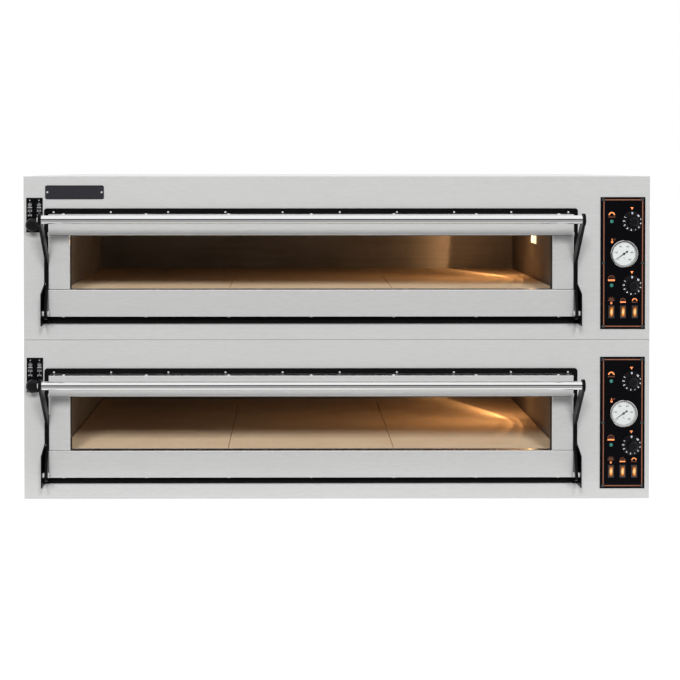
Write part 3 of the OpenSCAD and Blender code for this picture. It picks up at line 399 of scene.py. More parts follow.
# Baking chambers: dark heat-stained sheet round three sanded clay stones, with tubular elements above
# and below them and a lamp behind a warm glass in the right wall. Mineral wool fills the casing round them.
stained_sheet, place = new_finish("stained_sheet")
drift = place.noise(5.0, 4.0, 0.6)
scuffs = place.stretched((6.0, 6.0, 160.0)).noise(1.0, 3.0)
stain = (drift * 0.7 + scuffs * 0.3).fade(0.3, 0.7)
surface(place, {
    "Base Color": stain.tint((0.215, 0.196, 0.19), (0.335, 0.305, 0.295)),
    "Metallic": 0.2,
    "Roughness": 0.5 + scuffs * 0.2,
}, scuffs, 0.00003)
coat(stained_sheet, "chamber_liners")

clay, place = new_finish("sanded_clay")
sand = place.noise(1400.0, 2.0)
patches = place.noise(9.0, 4.0, 0.6)
pores = place.noise(260.0, 2.0).fade(0.62, 0.7)
tone = (patches * 0.75 + sand * 0.25).fade(0.3, 0.7)
surface(place, {
    "Base Color": pores.tint(tone.tint((0.86, 0.64, 0.455), (0.95, 0.74, 0.55)), (0.60, 0.41, 0.27)),
    "Roughness": 0.93,
}, sand - pores * 0.6, 0.00012)
eased("baking_stones", 1.6 * MM, clay, "baking_stone", 3)

wool, place = new_finish("mineral_wool")
fibres = place.stretched((60.0, 60.0, 900.0)).noise(1.0, 4.0)
surface(place, {
    "Base Color": fibres.tint((0.40, 0.33, 0.17), (0.72, 0.64, 0.42)),
    "Roughness": 0.95,
}, fibres, 0.0006)
coat(wool, "insulation")

element, place = new_finish("element_sheath")
blueing = place.noise(22.0, 3.0)
surface(place, {
    "Base Color": blueing.fade(0.35, 0.65).tint((0.07, 0.065, 0.065), (0.16, 0.14, 0.12)),
    "Metallic": 0.9,
    "Roughness": 0.38 + blueing * 0.2,
}, place.noise(500.0), 0.00002)
coat(element, "heating_elements")

lamp_glass, place = new_finish("lamp_glass")
ripple = place.noise(90.0, 2.0)
surface(place, {
    "Base Color": (1.0, 0.82, 0.5),
    "Roughness": 0.2 + ripple * 0.15,
    "Emission Color": ripple.tint((1.0, 0.78, 0.42), (1.0, 0.90, 0.66)),
    "Emission Strength": 1.6,
}, ripple, 0.0002)
coat(lamp_glass, "lamp_lenses")
coat(duct_steel, "lamp_holders")

# The lamp's reflector throws a beam across the chamber, arcs on the stones and a band on the back wall.
# Each table gives the light at an angle in degrees from straight across to the left.
LAMP_AT, LAMP_COLOUR, BULB_RADIUS = (483.0, 375.0, 214.0), (1.0, 0.56, 0.24), 4.0 * MM
BEAM = ((0, 0.24), (10, 0.30), (20, 0.16), (35, 0.08), (50, 0.03), (60, 0.008), (80, 0.001), (90, 0.0))
ARCS = (
    (0, 0.0), (49, 0.0), (51, 0.025), (52.5, 0.025), (53.5, 0.005), (58, 0.012), (63, 0.03), (66.9, 0.042),
    (67.6, 0.008), (74, 0.01), (75.8, 0.034), (76.8, 0.034), (77.6, 0.002), (90, 0.0))
BAND = (
    (0, 0.0), (40, 0.03), (54, 0.12), (60, 0.3), (64, 0.49), (66.6, 0.5), (67.8, 0.09),
    (80, 0.04), (180, 0.0))
for deck in decks:
    bpy.ops.object.light_add(type="POINT", location=spot(deck, *LAMP_AT))
    lamp = bpy.context.object
    lamp.name = deck + "_oven_lamp"
    lamp.data.energy, lamp.data.color = 4 * math.pi, LAMP_COLOUR
    lamp.data.shadow_soft_size = BULB_RADIUS
    lamp.data.use_nodes = True
    way = Wire(lamp.data.node_tree).node("TexCoord", out="Normal")
    across = way.node("SeparateXYZ", {0: way}, out="X")
    rearward = way.node("SeparateXYZ", {0: way}, out="Y").fade(0.25, 0.85)
    angle = across.sum("ARCCOSINE", 0.0 - across) * (1 / math.pi)
    beam, arcs, band = (
        angle.node("ValToRGB", {0: angle}, stops=[(turn / 180, (share,) * 3) for turn, share in table])
        for table in (BEAM, ARCS, BAND))
    strength = beam + arcs * (1.0 - rearward) + band * rearward
    strength.feed(lamp.data.node_tree.nodes["Emission"], {"Strength": strength})


# Door surrounds and seals: a black enamelled strip frames each door, screwed to the front panel.
# A woven glass-fibre rope lies behind the door round the mouth.
def choose(kind, test):
    """In edit mode, selects the faces, edges or points of the active piece that pass a test."""
    piece = bpy.context.object
    bpy.ops.mesh.select_mode(type=kind)
    bpy.ops.mesh.select_all(action="DESELECT")
    bpy.ops.object.mode_set(mode="OBJECT")
    mesh = piece.data
    if kind == "FACE":
        for face in mesh.polygons:
            face.select = test(face.center, face.normal)
    elif kind == "EDGE":
        for edge in mesh.edges:
            start, end = (mesh.vertices[i].co for i in edge.vertices)
            edge.select = test((start + end) / 2, (end - start).normalized())
    else:
        for point in mesh.vertices:
            point.select = test(point.co)
    bpy.ops.object.mode_set(mode="EDIT")


enamel, place = new_finish("black_enamel")
peel = place.noise(420.0, 2.0)
smears = place.noise(14.0, 4.0, 0.6)
surface(place, {
    "Base Color": smears.tint((0.0016, 0.0016, 0.0018), (0.0042, 0.0042, 0.0044)),
    "Specular IOR Level": 0.05,
    "Roughness": 0.2 + smears * 0.1,
}, peel, 0.00003)

SURROUND_X, SURROUND_Z, CORNER_RADIUS = (-639.5, 526.0), (35.5, 287.0), 6.0 * MM
surround = copied("door_surrounds", "door_surrounds_eased")
corners = [spot(deck, x, 0, z) for deck in decks for x in SURROUND_X for z in SURROUND_Z]
edit(
    lambda: choose("EDGE", lambda middle, along: abs(along.y) > 0.9 and any(
        abs(middle.x - c.x) < MM and abs(middle.z - c.z) < MM for c in corners)),
    lambda: bpy.ops.mesh.bevel(offset=CORNER_RADIUS, segments=6, affect="EDGES"),
)
round_edges(surround, 0.8 * MM)
fit(surround, enamel, "black_enamel", "casing", "door_surrounds")

rope, place = new_finish("seal_rope")
twist = place.node("TexWave", {"Vector": place, "Scale": 160.0, "Distortion": 2.0, "Detail": 2.0}, out=1,
                   bands_direction="DIAGONAL")
surface(place, {
    "Base Color": twist.tint((0.05, 0.047, 0.043), (0.17, 0.16, 0.145)),
    "Roughness": 0.9,
}, twist, 0.0005)
coat(rope, "door_seals")


# Name plate: a small plate of dark lacquered sheet with rounded corners.
# It is riveted to the upper front panel and left bare.
plate_dark, place = new_finish("name_plate")
lines = place.stretched((40.0, 40.0, 2500.0)).noise(1.0, 3.0)
surface(place, {
    "Base Color": lines.tint((0.014, 0.0135, 0.017), (0.028, 0.027, 0.033)),
    "Specular IOR Level": 0.2,
    "Metallic": 0.25,
    "Roughness": 0.34 + lines * 0.12,
}, lines, 0.00001)
eased("name_plate", 0.4 * MM, plate_dark, "name_plate")


# Control plates: black printed sheet on the right of each deck, with a copper-coloured border line
# and plain orange signs for top heat, base heat, oven heat and light.
control_black, place = new_finish("control_black")
speckle = place.noise(1100.0, 2.0)
surface(place, {
    "Base Color": speckle.tint((0.0012, 0.0012, 0.0017), (0.0027, 0.0027, 0.0035)),
    "Specular IOR Level": 0.04,
    "Roughness": 0.28 + speckle * 0.1,
}, speckle, 0.00001)
eased("control_plates", 0.4 * MM, control_black, "control_black")


def ink(name, colour, worn, glow=0.0):
    """A screen-printed colour, a little uneven."""
    finish, place = new_finish(name)
    cover = place.noise(900.0, 2.0).fade(0.25, 0.6)
    surface(place, {
        "Base Color": cover.tint(worn, colour),
        "Roughness": 0.55,
        "Emission Color": colour,
        "Emission Strength": glow,
    })
    return finish


def place_flat(piece):
    """Puts the place, turn and size of the selected piece into its mesh."""
    bpy.ops.object.transform_apply(location=True, rotation=True, scale=True)
    return piece


FRONT = math.pi / 2


def flat_disc(centre, radius, corners=24, turn=0.0):
    """A flat printed disc, or a triangle with its tip up, facing the front."""
    bpy.ops.object.select_all(action="DESELECT")
    bpy.ops.mesh.primitive_circle_add(
        vertices=corners, radius=radius, fill_type="NGON", location=centre, rotation=(FRONT, turn, 0.0))
    return place_flat(bpy.context.object)


def flat_bar(centre, width, height, turn=0.0):
    """A flat printed bar facing the front."""
    bpy.ops.object.select_all(action="DESELECT")
    bpy.ops.mesh.primitive_plane_add(size=1.0, location=centre, rotation=(FRONT, turn, 0.0))
    bpy.context.object.scale = width, height, 1.0
    return place_flat(bpy.context.object)


def flat_arc(centre, outer, inner, start=0.0, end=180.0):
    """A flat printed arc facing the front, between two angles from the right, turning upwards."""
    bpy.ops.object.select_all(action="DESELECT")
    bpy.ops.mesh.primitive_circle_add(
        vertices=48, radius=outer, location=centre, rotation=(FRONT, 0.0, 0.0))
    piece = place_flat(bpy.context.object)
    centre = Vector(centre)

    def outside(point):
        turn = math.degrees(math.atan2(point.z - centre.z, point.x - centre.x)) % 360
        return not (start - 1 <= turn <= end + 1 or start - 1 <= turn - 360 <= end + 1)

    shrink = inner / outer
    edit(
        lambda: choose("VERT", outside),
        lambda: bpy.ops.mesh.delete(type="VERT"),
        lambda: bpy.ops.mesh.select_all(action="SELECT"),
        lambda: bpy.ops.mesh.extrude_edges_move(),
        lambda: bpy.ops.transform.resize(value=(shrink, shrink, shrink), center_override=centre),
        lambda: bpy.ops.mesh.select_all(action="SELECT"),
        lambda: bpy.ops.mesh.normals_make_consistent(inside=False),
    )
    if sum(face.normal.y for face in piece.data.polygons) > 0:
        edit(lambda: bpy.ops.mesh.select_all(action="SELECT"), lambda: bpy.ops.mesh.flip_normals())
    return piece


def joined(name, parts):
    """One piece of several."""
    pick(*parts)
    bpy.ops.object.join()
    piece = bpy.context.object
    piece.name = piece.data.name = name
    return piece


def printed(name, parts, thick=0.12 * MM):
    """Flat shapes joined into one print that lies on its plate."""
    piece = joined(name, parts)
    film = piece.modifiers.new("film", "SOLIDIFY")
    film.thickness, film.offset = thick, 1.0
    bpy.ops.object.modifier_apply(modifier="film")
    return piece


copper = ink("copper_line", (0.175, 0.066, 0.037), (0.12, 0.045, 0.026))
orange = ink("orange_print", (0.80, 0.26, 0.09), (0.58, 0.18, 0.06))
faint_orange = ink("faint_orange_print", (0.125, 0.045, 0.026), (0.06, 0.022, 0.014))
PLATE_FACE = -2.02
LINE_X, LINE_Z, LINE_W = (-41.7, 43.0), 138.5, 2.2
SIGN_X, SIGN_Z, SMALL_SIGN = (-25.0, 0.5, 26.0), -82.0, 0.82
HEAT_X, HEAT_Z = -23.8, 49.2
RAY_RADIUS, RAY_TURNS = 6.2, (-1.7, -1.05, -0.4, 0.4, 1.05, 1.7)


def control_print(deck, x, z):
    """A point on a control plate's face, in millimetres from its middle."""
    return spot(deck, CONTROL_X + x, PLATE_FACE, CONTROL_Z + z)


def top_heat_sign(deck, x, z, scale=1.0):
    """A thick arch over a faint broken line: heat from above."""
    bright = [flat_arc(control_print(deck, x, z - 2.6 * scale), 7.1 * scale * MM, 4.4 * scale * MM)]
    dashes = [control_print(deck, x + step * 3.1 * scale, z - 6.4 * scale) for step in (-2, -1, 0, 1, 2)]
    faint = [flat_bar(dash, 2.3 * scale * MM, 2.2 * scale * MM) for dash in dashes]
    return bright, faint


def base_heat_sign(deck, x, z, scale=1.0):
    """A thick bar under a faint arch: heat from below."""
    bright = [flat_bar(control_print(deck, x, z - 6.0 * scale), 15.0 * scale * MM, 3.6 * scale * MM)]
    faint = [flat_arc(control_print(deck, x, z - 2.6 * scale), 7.4 * scale * MM, 5.9 * scale * MM),
             flat_arc(control_print(deck, x, z - 2.6 * scale), 3.2 * scale * MM, 2.3 * scale * MM)]
    return bright, faint


for deck in decks:
    middle_x, line_length = sum(LINE_X) / 2, (LINE_X[1] - LINE_X[0] + LINE_W) * MM
    border = [flat_bar(control_print(deck, middle_x, z), line_length, LINE_W * MM)
              for z in (-LINE_Z, LINE_Z)]
    border += [flat_bar(control_print(deck, x, 0), LINE_W * MM, 2 * LINE_Z * MM) for x in LINE_X]
    fit(printed(deck + "_border_line", border), copper, "control_black", "casing")

    bright, faint = [], []
    for sign in (
            top_heat_sign(deck, -24.5, 107.4),
            base_heat_sign(deck, -25.0, -31.6),
            base_heat_sign(deck, SIGN_X[1], SIGN_Z + 1.5, SMALL_SIGN),
            top_heat_sign(deck, SIGN_X[2], SIGN_Z + 1.5, SMALL_SIGN)):
        bright += sign[0]
        faint += sign[1]
    for z in (120.3, -19.7):
        bright.append(flat_disc(control_print(deck, 19.8, z), 3.9 * MM, 3, math.pi))
    bright += [
        flat_disc(control_print(deck, HEAT_X, HEAT_Z - 2.9), 2.5 * MM),
        flat_bar(control_print(deck, HEAT_X, HEAT_Z + 0.6), 2.0 * MM, 5.6 * MM),
        flat_disc(control_print(deck, HEAT_X, HEAT_Z + 3.4), 1.0 * MM),
    ]
    for step in (1.4, 3.6):
        faint.append(flat_bar(control_print(deck, HEAT_X + 5.4, HEAT_Z + step), 4.4 * MM, 1.0 * MM, -0.3))
    light_x, light_z = SIGN_X[0], SIGN_Z + 1.0
    bright.append(flat_bar(control_print(deck, light_x, SIGN_Z - 5.6), 3.4 * MM, 4.4 * MM))
    faint.append(flat_arc(control_print(deck, light_x, light_z), 4.4 * MM, 2.9 * MM, -60.0, 240.0))
    for turn in RAY_TURNS:
        tip_x, tip_z = light_x + RAY_RADIUS * math.sin(turn), light_z + RAY_RADIUS * math.cos(turn)
        faint.append(flat_bar(control_print(deck, tip_x, tip_z), 1.1 * MM, 2.6 * MM, turn))
    faint.append(flat_disc(control_print(deck, light_x, light_z), 1.7 * MM))
    fit(printed(deck + "_orange_signs", bright), orange, "control_black", "casing")
    fit(printed(deck + "_faint_signs", faint), faint_orange, "control_black", "casing")


# Thermometers: a chromed bezel pressed round a white printed dial, a black needle and a flat glass.
# The case goes through the control plate and is held from behind.
chrome_ring, place = new_finish("bezel_chrome")
swirl = place.noise(300.0, 2.0)
surface(place, {
    "Base Color": swirl.tint((0.66, 0.655, 0.65), (0.78, 0.775, 0.77)),
    "Metallic": 1.0,
    "Roughness": 0.16 + swirl * 0.08,
})
eased("gauge_cases", 0.5 * MM, chrome_ring, "bezel_chrome", 3)

dial_white, place = new_finish("dial_white")
fleck = place.noise(400.0, 2.0)
surface(place, {
    "Base Color": fleck.tint((0.43, 0.43, 0.42), (0.50, 0.50, 0.49)),
    "Roughness": 0.5 + fleck * 0.1,
})
coat(dial_white, "gauge_dials")

needle_black, place = new_finish("needle_black")
fleck = place.noise(800.0, 2.0)
surface(place, {"Base Color": fleck.tint((0.006, 0.006, 0.006), (0.014, 0.014, 0.014)), "Roughness": 0.4})
for deck in decks:
    coat(needle_black, deck + "_gauge_needle")


def clear_glass(name, tint, smear, density):
    """Clear glass: what lies behind it shows through, and the room is mirrored faintly in it."""
    finish, place = new_finish(name)
    smudge = place.noise(12.0, 3.0)
    surface(place, {"Base Color": (1.0, 1.0, 1.0), "Metallic": 1.0, "Roughness": smear * smudge})
    mirror = Wire(place.tree, place.tree.nodes["Principled BSDF"].outputs[0])
    clear = place.node("BsdfTransparent", {"Color": tint})
    gloss = place.node("Fresnel", {"IOR": density}) * (1.0 - place.node("NewGeometry", out="Backfacing"))
    pane = place.node("MixShader", {0: gloss, 1: clear, 2: mirror})
    place.feed(place.tree.nodes["Material Output"], {"Surface": pane})
    return finish


gauge_glass = clear_glass("gauge_glass", (0.97, 0.98, 0.98), 0.06, 1.25)
coat(gauge_glass, "gauge_glasses")


def lettered(name, marks, bold=0.0):
    """Numbers cut from film: each is a text, its size and its place."""
    parts = []
    for text, size, place in marks:
        bpy.ops.object.select_all(action="DESELECT")
        bpy.ops.object.text_add()
        number = bpy.context.object
        number.data.body, number.data.size, number.data.offset = text, size, bold
        number.data.align_x, number.data.align_y, number.data.extrude = "CENTER", "CENTER", 0.05 * MM
        bpy.ops.object.convert(target="MESH")
        number = bpy.context.object
        number.matrix_world = place
        parts.append(place_flat(number))
    return joined(name, parts)


def facing(point):
    """A place on the front: text lies in it upright and looks forward."""
    return Matrix.Translation(point) @ Matrix.Rotation(FRONT, 4, "X")


dial_ink_and_shade = ink("dial_ink_and_shade", (0.03, 0.03, 0.032), (0.10, 0.10, 0.10))
GAUGE_AT, DIAL_FACE = (2.3, 20.3), -3.23
SCALE_START, SCALE_STEP, SCALE_TOP = 225.0, 54.0, 500
TICK_END, NUMBER_RING, RIM_SHADE_RING = 24.6 * MM, 17.6 * MM, (26.2 * MM, 25.2 * MM)
for deck in decks:
    centre = spot(deck, CONTROL_X + GAUGE_AT[0], DIAL_FACE, CONTROL_Z + GAUGE_AT[1])
    marks, ticks_and_rim_shade = [], []
    for value in range(0, SCALE_TOP + 1, 20):
        turn = math.radians(SCALE_START + value * SCALE_STEP / 100)
        out = Vector((math.sin(turn), 0.0, math.cos(turn)))
        long_mark = value % 100 == 0
        length, width = (3.4 * MM, 0.7 * MM) if long_mark else (1.8 * MM, 0.4 * MM)
        ticks_and_rim_shade.append(flat_bar(centre + out * (TICK_END - length / 2), width, length, turn))
        if long_mark:
            marks.append((str(value), 4.3 * MM, facing(centre + out * NUMBER_RING)))
    marks.append(("°C", 4.0 * MM, facing(centre + Vector((0.0, 0.0, -9.5 * MM)))))
    # The dark ring round the dial's edge is painted shade: it stands for the shade of the bezel's wall on
    # the dial, and is printed in the dial's ink with the ticks.
    ticks_and_rim_shade.append(flat_arc(centre, *RIM_SHADE_RING, 0.0, 360.0))
    fit(printed(deck + "_dial_ticks_and_rim_shade", ticks_and_rim_shade, 0.05 * MM), dial_ink_and_shade, "dial_white", "casing")
    fit(lettered(deck + "_dial_numbers", marks, 0.1 * MM), dial_ink_and_shade, "dial_white", "casing")


# Heat knobs: black moulded knobs on the thermostats' spindles, with white numbers on the sloping skirt.
# The number under the printed triangle is the heat that is set.
moulded_black, place = new_finish("moulded_black")
skin = place.noise(500.0, 2.0)
surface(place, {
    "Base Color": skin.tint((0.0022, 0.0022, 0.0026), (0.0055, 0.0055, 0.0062)),
    "Specular IOR Level": 0.2,
    "Roughness": 0.27 + skin * 0.12,
}, skin, 0.000012)
number_white = ink("number_white", (0.62, 0.63, 0.67), (0.40, 0.41, 0.44))

thermostat_body, place = new_finish("thermostat_body")
grain = place.noise(300.0, 2.0)
surface(place, {
    "Base Color": grain.tint((0.60, 0.55, 0.46), (0.74, 0.70, 0.60)),
    "Roughness": 0.5,
}, grain, 0.00003)
coat(thermostat_body, "thermostats")

KNOBS = {"top_heat": (19.4, 91.0), "base_heat": (19.4, -48.9)}
SKIRT_LEAN, NUMBER_R, SKIRT_FACE = math.atan2(2.0, 8.3), 18.1, -6.62
FIRST_NUMBER, NUMBER_STEP, NUMBER_COUNT = 58.5, 28.5, 10
for deck in decks:
    for knob, (x, z) in KNOBS.items():
        node = f"{deck}_{knob}_knob"
        eased(node, 0.7 * MM, moulded_black, "black_plastic", 3)
        axis = facing(spot(deck, CONTROL_X + x, SKIRT_FACE, CONTROL_Z + z))
        lean = Matrix.Translation((0.0, NUMBER_R * MM, 0.0)) @ Matrix.Rotation(-SKIRT_LEAN, 4, "X")
        marks = [("0", 6.4 * MM, axis @ lean)]
        for number in range(1, NUMBER_COUNT + 1):
            turn = math.radians(FIRST_NUMBER + NUMBER_STEP * (number - 1))
            marks.append((str(number), 5.6 * MM, axis @ Matrix.Rotation(turn, 4, "Z") @ lean))
        numbers = lettered(node + "_numbers", marks, 0.16 * MM)
        fit(numbers, number_white, "black_plastic", f"{deck}_{knob}")


# Pilot lamps and rocker switches: green domed lenses, and three lit amber rockers in black frames
# for the light, the base heat and the top heat.
pilot_green, place = new_finish("pilot_green")
deep = place.noise(240.0, 2.0)
surface(place, {
    "Base Color": deep.tint((0.008, 0.06, 0.044), (0.026, 0.15, 0.115)),
    "Roughness": 0.12,
    "Coat Weight": 0.6,
    "Emission Color": (0.03, 0.22, 0.16),
    "Emission Strength": 0.2,
})
eased("pilot_lamps", 0.9 * MM, pilot_green, "pilot_green", 4)

frame_grey, place = new_finish("switch_frame")
grain = place.noise(800.0, 2.0)
surface(place, {
    "Base Color": grain.tint((0.016, 0.016, 0.019), (0.030, 0.030, 0.034)),
    "Roughness": 0.4 + grain * 0.15,
}, grain, 0.00002)
eased("switch_housings", 0.35 * MM, frame_grey, "black_plastic")

GLOW_HALF_WIDTH, GLOW_HALF_HEIGHT = 4.0 * MM, 10.8 * MM
for deck in decks:
    for rocker in ("light", "base", "top"):
        node = f"{deck}_{rocker}_switch"
        low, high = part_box(node)
        amber, place = new_finish(f"{deck}_{rocker}_amber")
        local = place.node("Mapping", {"Vector": place, "Location": -(low + high) / 2})
        across = local.node("SeparateXYZ", {0: local}, out="X") * (1 / GLOW_HALF_WIDTH)
        up = local.node("SeparateXYZ", {0: local}, out="Z") * (1 / GLOW_HALF_HEIGHT)
        reach = across.sum("SQRT", across * across + up * up)
        flicker = place.noise(380.0, 2.0)
        heat = 1.0 - reach.fade(0.3, 1.06) + (flicker - 0.5) * 0.6
        surface(place, {
            "Base Color": (0.10, 0.035, 0.006),
            "Roughness": 0.28,
            "Coat Weight": 0.3,
            "Emission Color": heat.node("ValToRGB", {0: heat}, stops=[
                (0.0, (0.02, 0.006, 0.002)), (0.3, (0.55, 0.15, 0.014)), (0.7, (0.95, 0.36, 0.04)),
                (1.0, (1.0, 0.74, 0.34))]),
            "Emission Strength": 0.9,
        })
        eased(node, 0.5 * MM, amber, "amber_rocker", 3)


# Dampers: a black plate with plain signs for open and shut, and a black knob on a rod that pulls the
# vapour valve open.
eased("damper_plates", 0.3 * MM, control_black, "control_black")
sign_grey = ink("sign_grey", (0.21, 0.215, 0.22), (0.08, 0.082, 0.085))
DAMPER_X, DAMPER_Z, DAMPER_FACE, SIGN_ASIDE = -661.0, 252.0, -1.52, 10.0
for deck in decks:
    coat(duct_steel, deck + "_damper_rod")
    eased(deck + "_damper_knob", 0.8 * MM, moulded_black, "black_plastic", 3)
    signs = []
    for side in (-1, 1):
        def mark(x, z):
            return spot(deck, DAMPER_X + side * SIGN_ASIDE + x, DAMPER_FACE, DAMPER_Z + z)

        signs.append(flat_disc(mark(0.0, 52.5), 1.5 * MM))
        for x in (-3.0, -1.0, 1.0, 3.0):
            signs.append(flat_bar(mark(x, 44.0 - abs(x) * 0.7), 1.2 * MM, (8.5 - abs(x)) * MM, 0.12 * x))
        signs.append(flat_bar(mark(0.0, 36.8), 9.5 * MM, 2.6 * MM))
        signs += [flat_bar(mark(x, z), 2.6 * MM, 1.5 * MM) for x in (-3.4, 0.0, 3.4) for z in (31.0, 28.2)]
        signs += [flat_disc(mark(end * 2.7, 19.5), 2.8 * MM, 3, -end * FRONT) for end in (-1, 1)]
        signs.append(flat_bar(mark(0.0, 23.4), 0.9 * MM, 5.0 * MM))
    fit(printed(deck + "_damper_signs", signs), sign_grey, "control_black", "casing")


# Hinges: black enamelled steel brackets bolted through the surround, with a steel pin on each side that
# the handle arm turns on.
bright_steel = brushed("turned_steel", (0.52, 0.52, 0.51), (0.64, 0.64, 0.63), (500.0, 500.0, 500.0), 0.26)
eased("hinge_brackets", 0.9 * MM, enamel, "black_enamel", 3)
eased("hinge_pins", 0.6 * MM, bright_steel, "bright_fasteners", 3)


# Doors: full-width rails of folded stainless sheet above and below the window, with a stile on each side.
# A liner sheet closes the back, and the tempered glass lies between the two.
# The rails' folds and bends carry a painted highlight: a lighter colour where their faces turn away from
# the front.
rail_steel = brushed(
    "rail_steel", (0.44, 0.44, 0.437), (0.53, 0.53, 0.526), (50.0, 60.0, 900.0), 0.46,
    streaks=0.15, fold_highlight=0.95)
STILE, TOP_RAIL, BOTTOM_RAIL, DOOR_SHEET = 46.5 * MM, 45.5 * MM, 59.0 * MM, 2.0 * MM
WINDOW_WALL, WINDOW_STRIP, WINDOW_STRIP_INSET = 22.0 * MM, 0.7 * MM, 2.5 * MM
JOINT, HEM, HEM_LINE = 0.5 * MM, 4.2 * MM, 0.5 * MM
TOUCH = 1e-5


def folded(name, low, high, opening, bend):
    """A front member folded from sheet: open at the back, its window edge on the opening side bent in."""
    piece = block(name, low, high)
    level, beyond = abs(opening.z) > 0.5, max(opening) > 0.5
    place = (lambda point: point.z) if level else (lambda point: point.x)
    window = place(high if beyond else low)
    open_faces = (lambda middle, normal: normal.y > 0.9) if level else (
        lambda middle, normal: normal.y > 0.9 or abs(normal.z) > 0.9)
    edit(
        lambda: choose("FACE", open_faces),
        lambda: bpy.ops.mesh.delete(type="FACE"),
        lambda: choose("VERT", lambda p: abs(place(p) - window) < TOUCH and p.y > low.y + TOUCH),
        lambda: bpy.ops.transform.translate(value=(0.0, low.y + WINDOW_WALL - high.y, 0.0)),
        lambda: choose("EDGE", lambda m, d: abs(m.y - low.y) < TOUCH and abs(place(m) - window) < TOUCH),
        lambda: bpy.ops.mesh.bevel(offset=bend, segments=5, affect="EDGES"),
        lambda: choose("EDGE", lambda m, d: abs(m.y - low.y) < TOUCH
                       and abs(place(m) - window) > bend + 0.1 * MM and abs(d.x if level else d.z) > 0.9),
        lambda: bpy.ops.mesh.bevel(offset=1.6 * MM, segments=3, affect="EDGES"),
    )
    if level:
        inward = -1.0 if beyond else 1.0
        steps = [window + inward * step for step in (HEM, HEM + HEM_LINE)]
        for height in steps:
            edit(lambda: bpy.ops.mesh.select_all(action="SELECT"),
                 lambda: bpy.ops.mesh.bisect(plane_co=(0.0, 0.0, height), plane_no=(0.0, 0.0, 1.0)))
        edit(
            lambda: choose("FACE", lambda m, n: n.y < -0.9 and min(steps) < m.z < max(steps)),
            lambda: bpy.ops.mesh.extrude_region_move(),
            lambda: bpy.ops.transform.translate(value=(0.0, HEM_LINE, 0.0)),
        )
    wall = piece.modifiers.new("sheet", "SOLIDIFY")
    wall.thickness, wall.offset, wall.use_even_offset = DOOR_SHEET, -1.0, True
    bpy.ops.object.modifier_apply(modifier="sheet")
    return round_edges(piece, 0.35 * MM, 2, 50)


door_glass = clear_glass("door_glass", (0.93, 0.93, 0.91), 0.05, 1.12)
UP, DOWN, LEFT, RIGHT = Vector((0, 0, 1)), Vector((0, 0, -1)), Vector((-1, 0, 0)), Vector((1, 0, 0))
for deck in decks:
    low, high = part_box(deck + "_door_frame")
    sill, head = low.z + BOTTOM_RAIL, high.z - TOP_RAIL
    members = [
        folded("top_rail", Vector((low.x, low.y, head)), high, DOWN, 3.2 * MM),
        folded("bottom_rail", low, Vector((high.x, high.y, sill)), UP, 3.6 * MM),
        folded("left_stile", Vector((low.x, low.y, sill + JOINT)),
               Vector((low.x + STILE, high.y, head - JOINT)), RIGHT, 2.4 * MM),
        folded("right_stile", Vector((high.x - STILE, low.y, sill + JOINT)),
               Vector((high.x, high.y, head - JOINT)), LEFT, 2.4 * MM),
    ]
    door = deck + "_door"
    fit(joined(door + "_front", members), rail_steel, "stainless", door, door + "_frame")
    left, right = low.x + STILE, high.x - STILE
    front, back = low.y + WINDOW_STRIP_INSET, low.y + WINDOW_WALL
    # Thin black strips cover the window's top wall and its side walls, so that these show dark; the bottom
    # wall is left as bright steel.
    strips = [
        block("strip", Vector((left, front, sill)), Vector((left + WINDOW_STRIP, back, head))),
        block("strip", Vector((right - WINDOW_STRIP, front, sill)), Vector((right, back, head))),
        block("strip", Vector((left, front, head - WINDOW_STRIP)), Vector((right, back, head))),
    ]
    fit(joined(deck + "_window_dark_strips", strips), rubber, "foot_rubber", door)
    coat(steel, door + "_liner")
    coat(door_glass, door + "_glass")


# Handles: a chromed tube between two black dog-leg arms, which are screwed to the door's sides and turn
# on the hinge pins. A button-head screw holds the tube at each end.
bar_chrome, place = new_finish("handle_chrome")
polish = place.stretched((3.0, 400.0, 400.0)).noise(1.0, 2.0)
surface(place, {
    "Base Color": polish.tint((0.80, 0.80, 0.80), (0.90, 0.90, 0.90)),
    "Metallic": 1.0,
    "Roughness": 0.06 + polish * 0.06,
})


def button_screw(name, radius, height, slot):
    """A domed screw head with a cross recess, its seat at the origin and its top towards +Z."""
    bpy.ops.object.select_all(action="DESELECT")
    bpy.ops.mesh.primitive_cylinder_add(
        vertices=20, radius=radius, depth=height, location=(0.0, 0.0, height / 2))
    piece = place_flat(bpy.context.object)
    piece.name = name
    edit(
        lambda: choose("EDGE", lambda m, d: m.z > height * 0.9),
        lambda: bpy.ops.mesh.bevel(offset=height * 0.72, segments=3, affect="EDGES"),
    )
    reach = Vector((radius * 0.55, radius * slot, height * 0.5))
    for size in (reach, Vector((reach.y, reach.x, reach.z))):
        middle = Vector((0.0, 0.0, height))
        cut(piece, block("cross", middle - size, middle + size))
    pick(piece)
    bpy.ops.object.shade_smooth_by_angle(angle=math.radians(40))
    return piece


def screw_places(node):
    """Where a CAD node's screws sit: the point at the top of each head, its direction and its radius."""
    copy = copied(node, "screw_places")
    edit(lambda: bpy.ops.mesh.select_all(action="SELECT"), lambda: bpy.ops.mesh.separate(type="LOOSE"))
    places = []
    for part in list(bpy.context.selected_objects):
        points = [point.co.copy() for point in part.data.vertices]
        low = Vector(map(min, zip(*points)))
        high = Vector(map(max, zip(*points)))
        size, middle = high - low, (low + high) / 2
        axis = min(range(3), key=lambda a: abs(size[(a + 1) % 3] - size[(a + 2) % 3]))
        widest = max(points, key=lambda p: (p - middle).length_squared - (p[axis] - middle[axis]) ** 2)
        way = 1.0 if widest[axis] > middle[axis] else -1.0
        top = middle.copy()
        top[axis] = high[axis] if way > 0 else low[axis]
        direction = Vector((0.0, 0.0, 0.0))
        direction[axis] = way
        places.append((top, direction, size[(axis + 1) % 3] / 2))
        bpy.data.objects.remove(part)
    return places


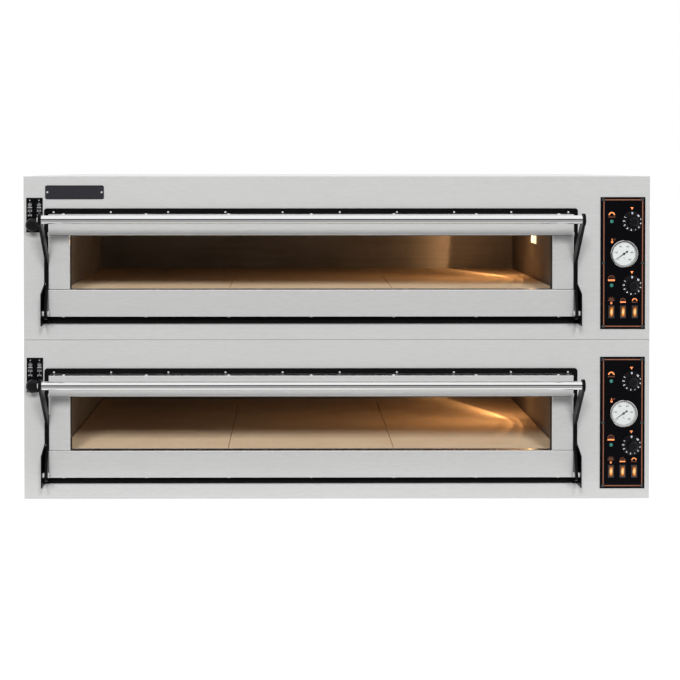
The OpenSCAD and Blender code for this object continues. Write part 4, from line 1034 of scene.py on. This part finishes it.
def screwed(name, node, finish, slot, height):
    """A set of screws in the places of a CAD node's screws, which they stand for."""
    masters, parts = {}, []
    for top, direction, radius in screw_places(node):
        key = round(radius, 5)
        if key not in masters:
            masters[key] = button_screw("screw_head", radius, height, 0.13)
        copy = bpy.data.objects.new(name, masters[key].data.copy())
        scene.collection.objects.link(copy)
        turn = direction.to_track_quat("Z", "Y").to_matrix().to_4x4()
        copy.matrix_world = Matrix.Translation(top - direction * height) @ turn
        parts.append(copy)
    pick(*parts)
    bpy.ops.object.transform_apply(location=True, rotation=True, scale=True)
    for master in masters.values():
        bpy.data.objects.remove(master)
    return fit(joined(name, parts), finish, slot, frame["nodes"][node]["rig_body"], node)


dark_steel = brushed(
    "blackened_steel", (0.035, 0.035, 0.037), (0.075, 0.075, 0.078), (300.0, 300.0, 300.0), 0.34)
BOLT_RADIUS, BOLT_HEIGHT = 6.0 * MM, 3.0 * MM
for deck in decks:
    eased(deck + "_handle_bar", 0.4 * MM, bar_chrome, "handle_chrome", 2)
    eased(deck + "_handle_arms", 1.0 * MM, enamel, "black_enamel", 3)
    screwed(deck + "_door_screw_heads", deck + "_door_screws", bright_steel, "bright_fasteners", 2.0 * MM)
    bar_low, bar_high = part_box(deck + "_handle_bar")
    arm_low, arm_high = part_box(deck + "_handle_arms")
    axis = (bar_low + bar_high) / 2
    bolts = []
    for x, way in ((arm_low.x, -1.0), (arm_high.x, 1.0)):
        bolt = button_screw("bar_bolt", BOLT_RADIUS, BOLT_HEIGHT, 0.14)
        bolt.matrix_world = Matrix.Translation((x, axis.y, axis.z)) @ Matrix.Rotation(way * FRONT, 4, "Y")
        bolts.append(place_flat(bolt))
    fit(joined(deck + "_bar_bolts", bolts), bright_steel, "bright_fasteners", deck + "_door")


# Screws of the casing and the trim: bright pan-head screws in the panels and along the top of the surround,
# blackened ones in the hinge brackets and the control plates.
screwed("casing_screw_heads", "casing_screws", bright_steel, "bright_fasteners", 2.4 * MM)
trim = screwed("trim_screw_heads", "trim_screws", dark_steel, "dark_fasteners", 1.4 * MM)
trim.data.materials.append(bright_steel)
TOP_STRIP = 20.0
for face in trim.data.polygons:
    deck = "upper" if face.center.z > deck_base["upper"] else "lower"
    over_door = face.center.z > spot(deck, 0, 0, SURROUND_Z[1] - TOP_STRIP).z
    if over_door and SURROUND_X[0] * MM < face.center.x < SURROUND_X[1] * MM:
        face.material_index = 1
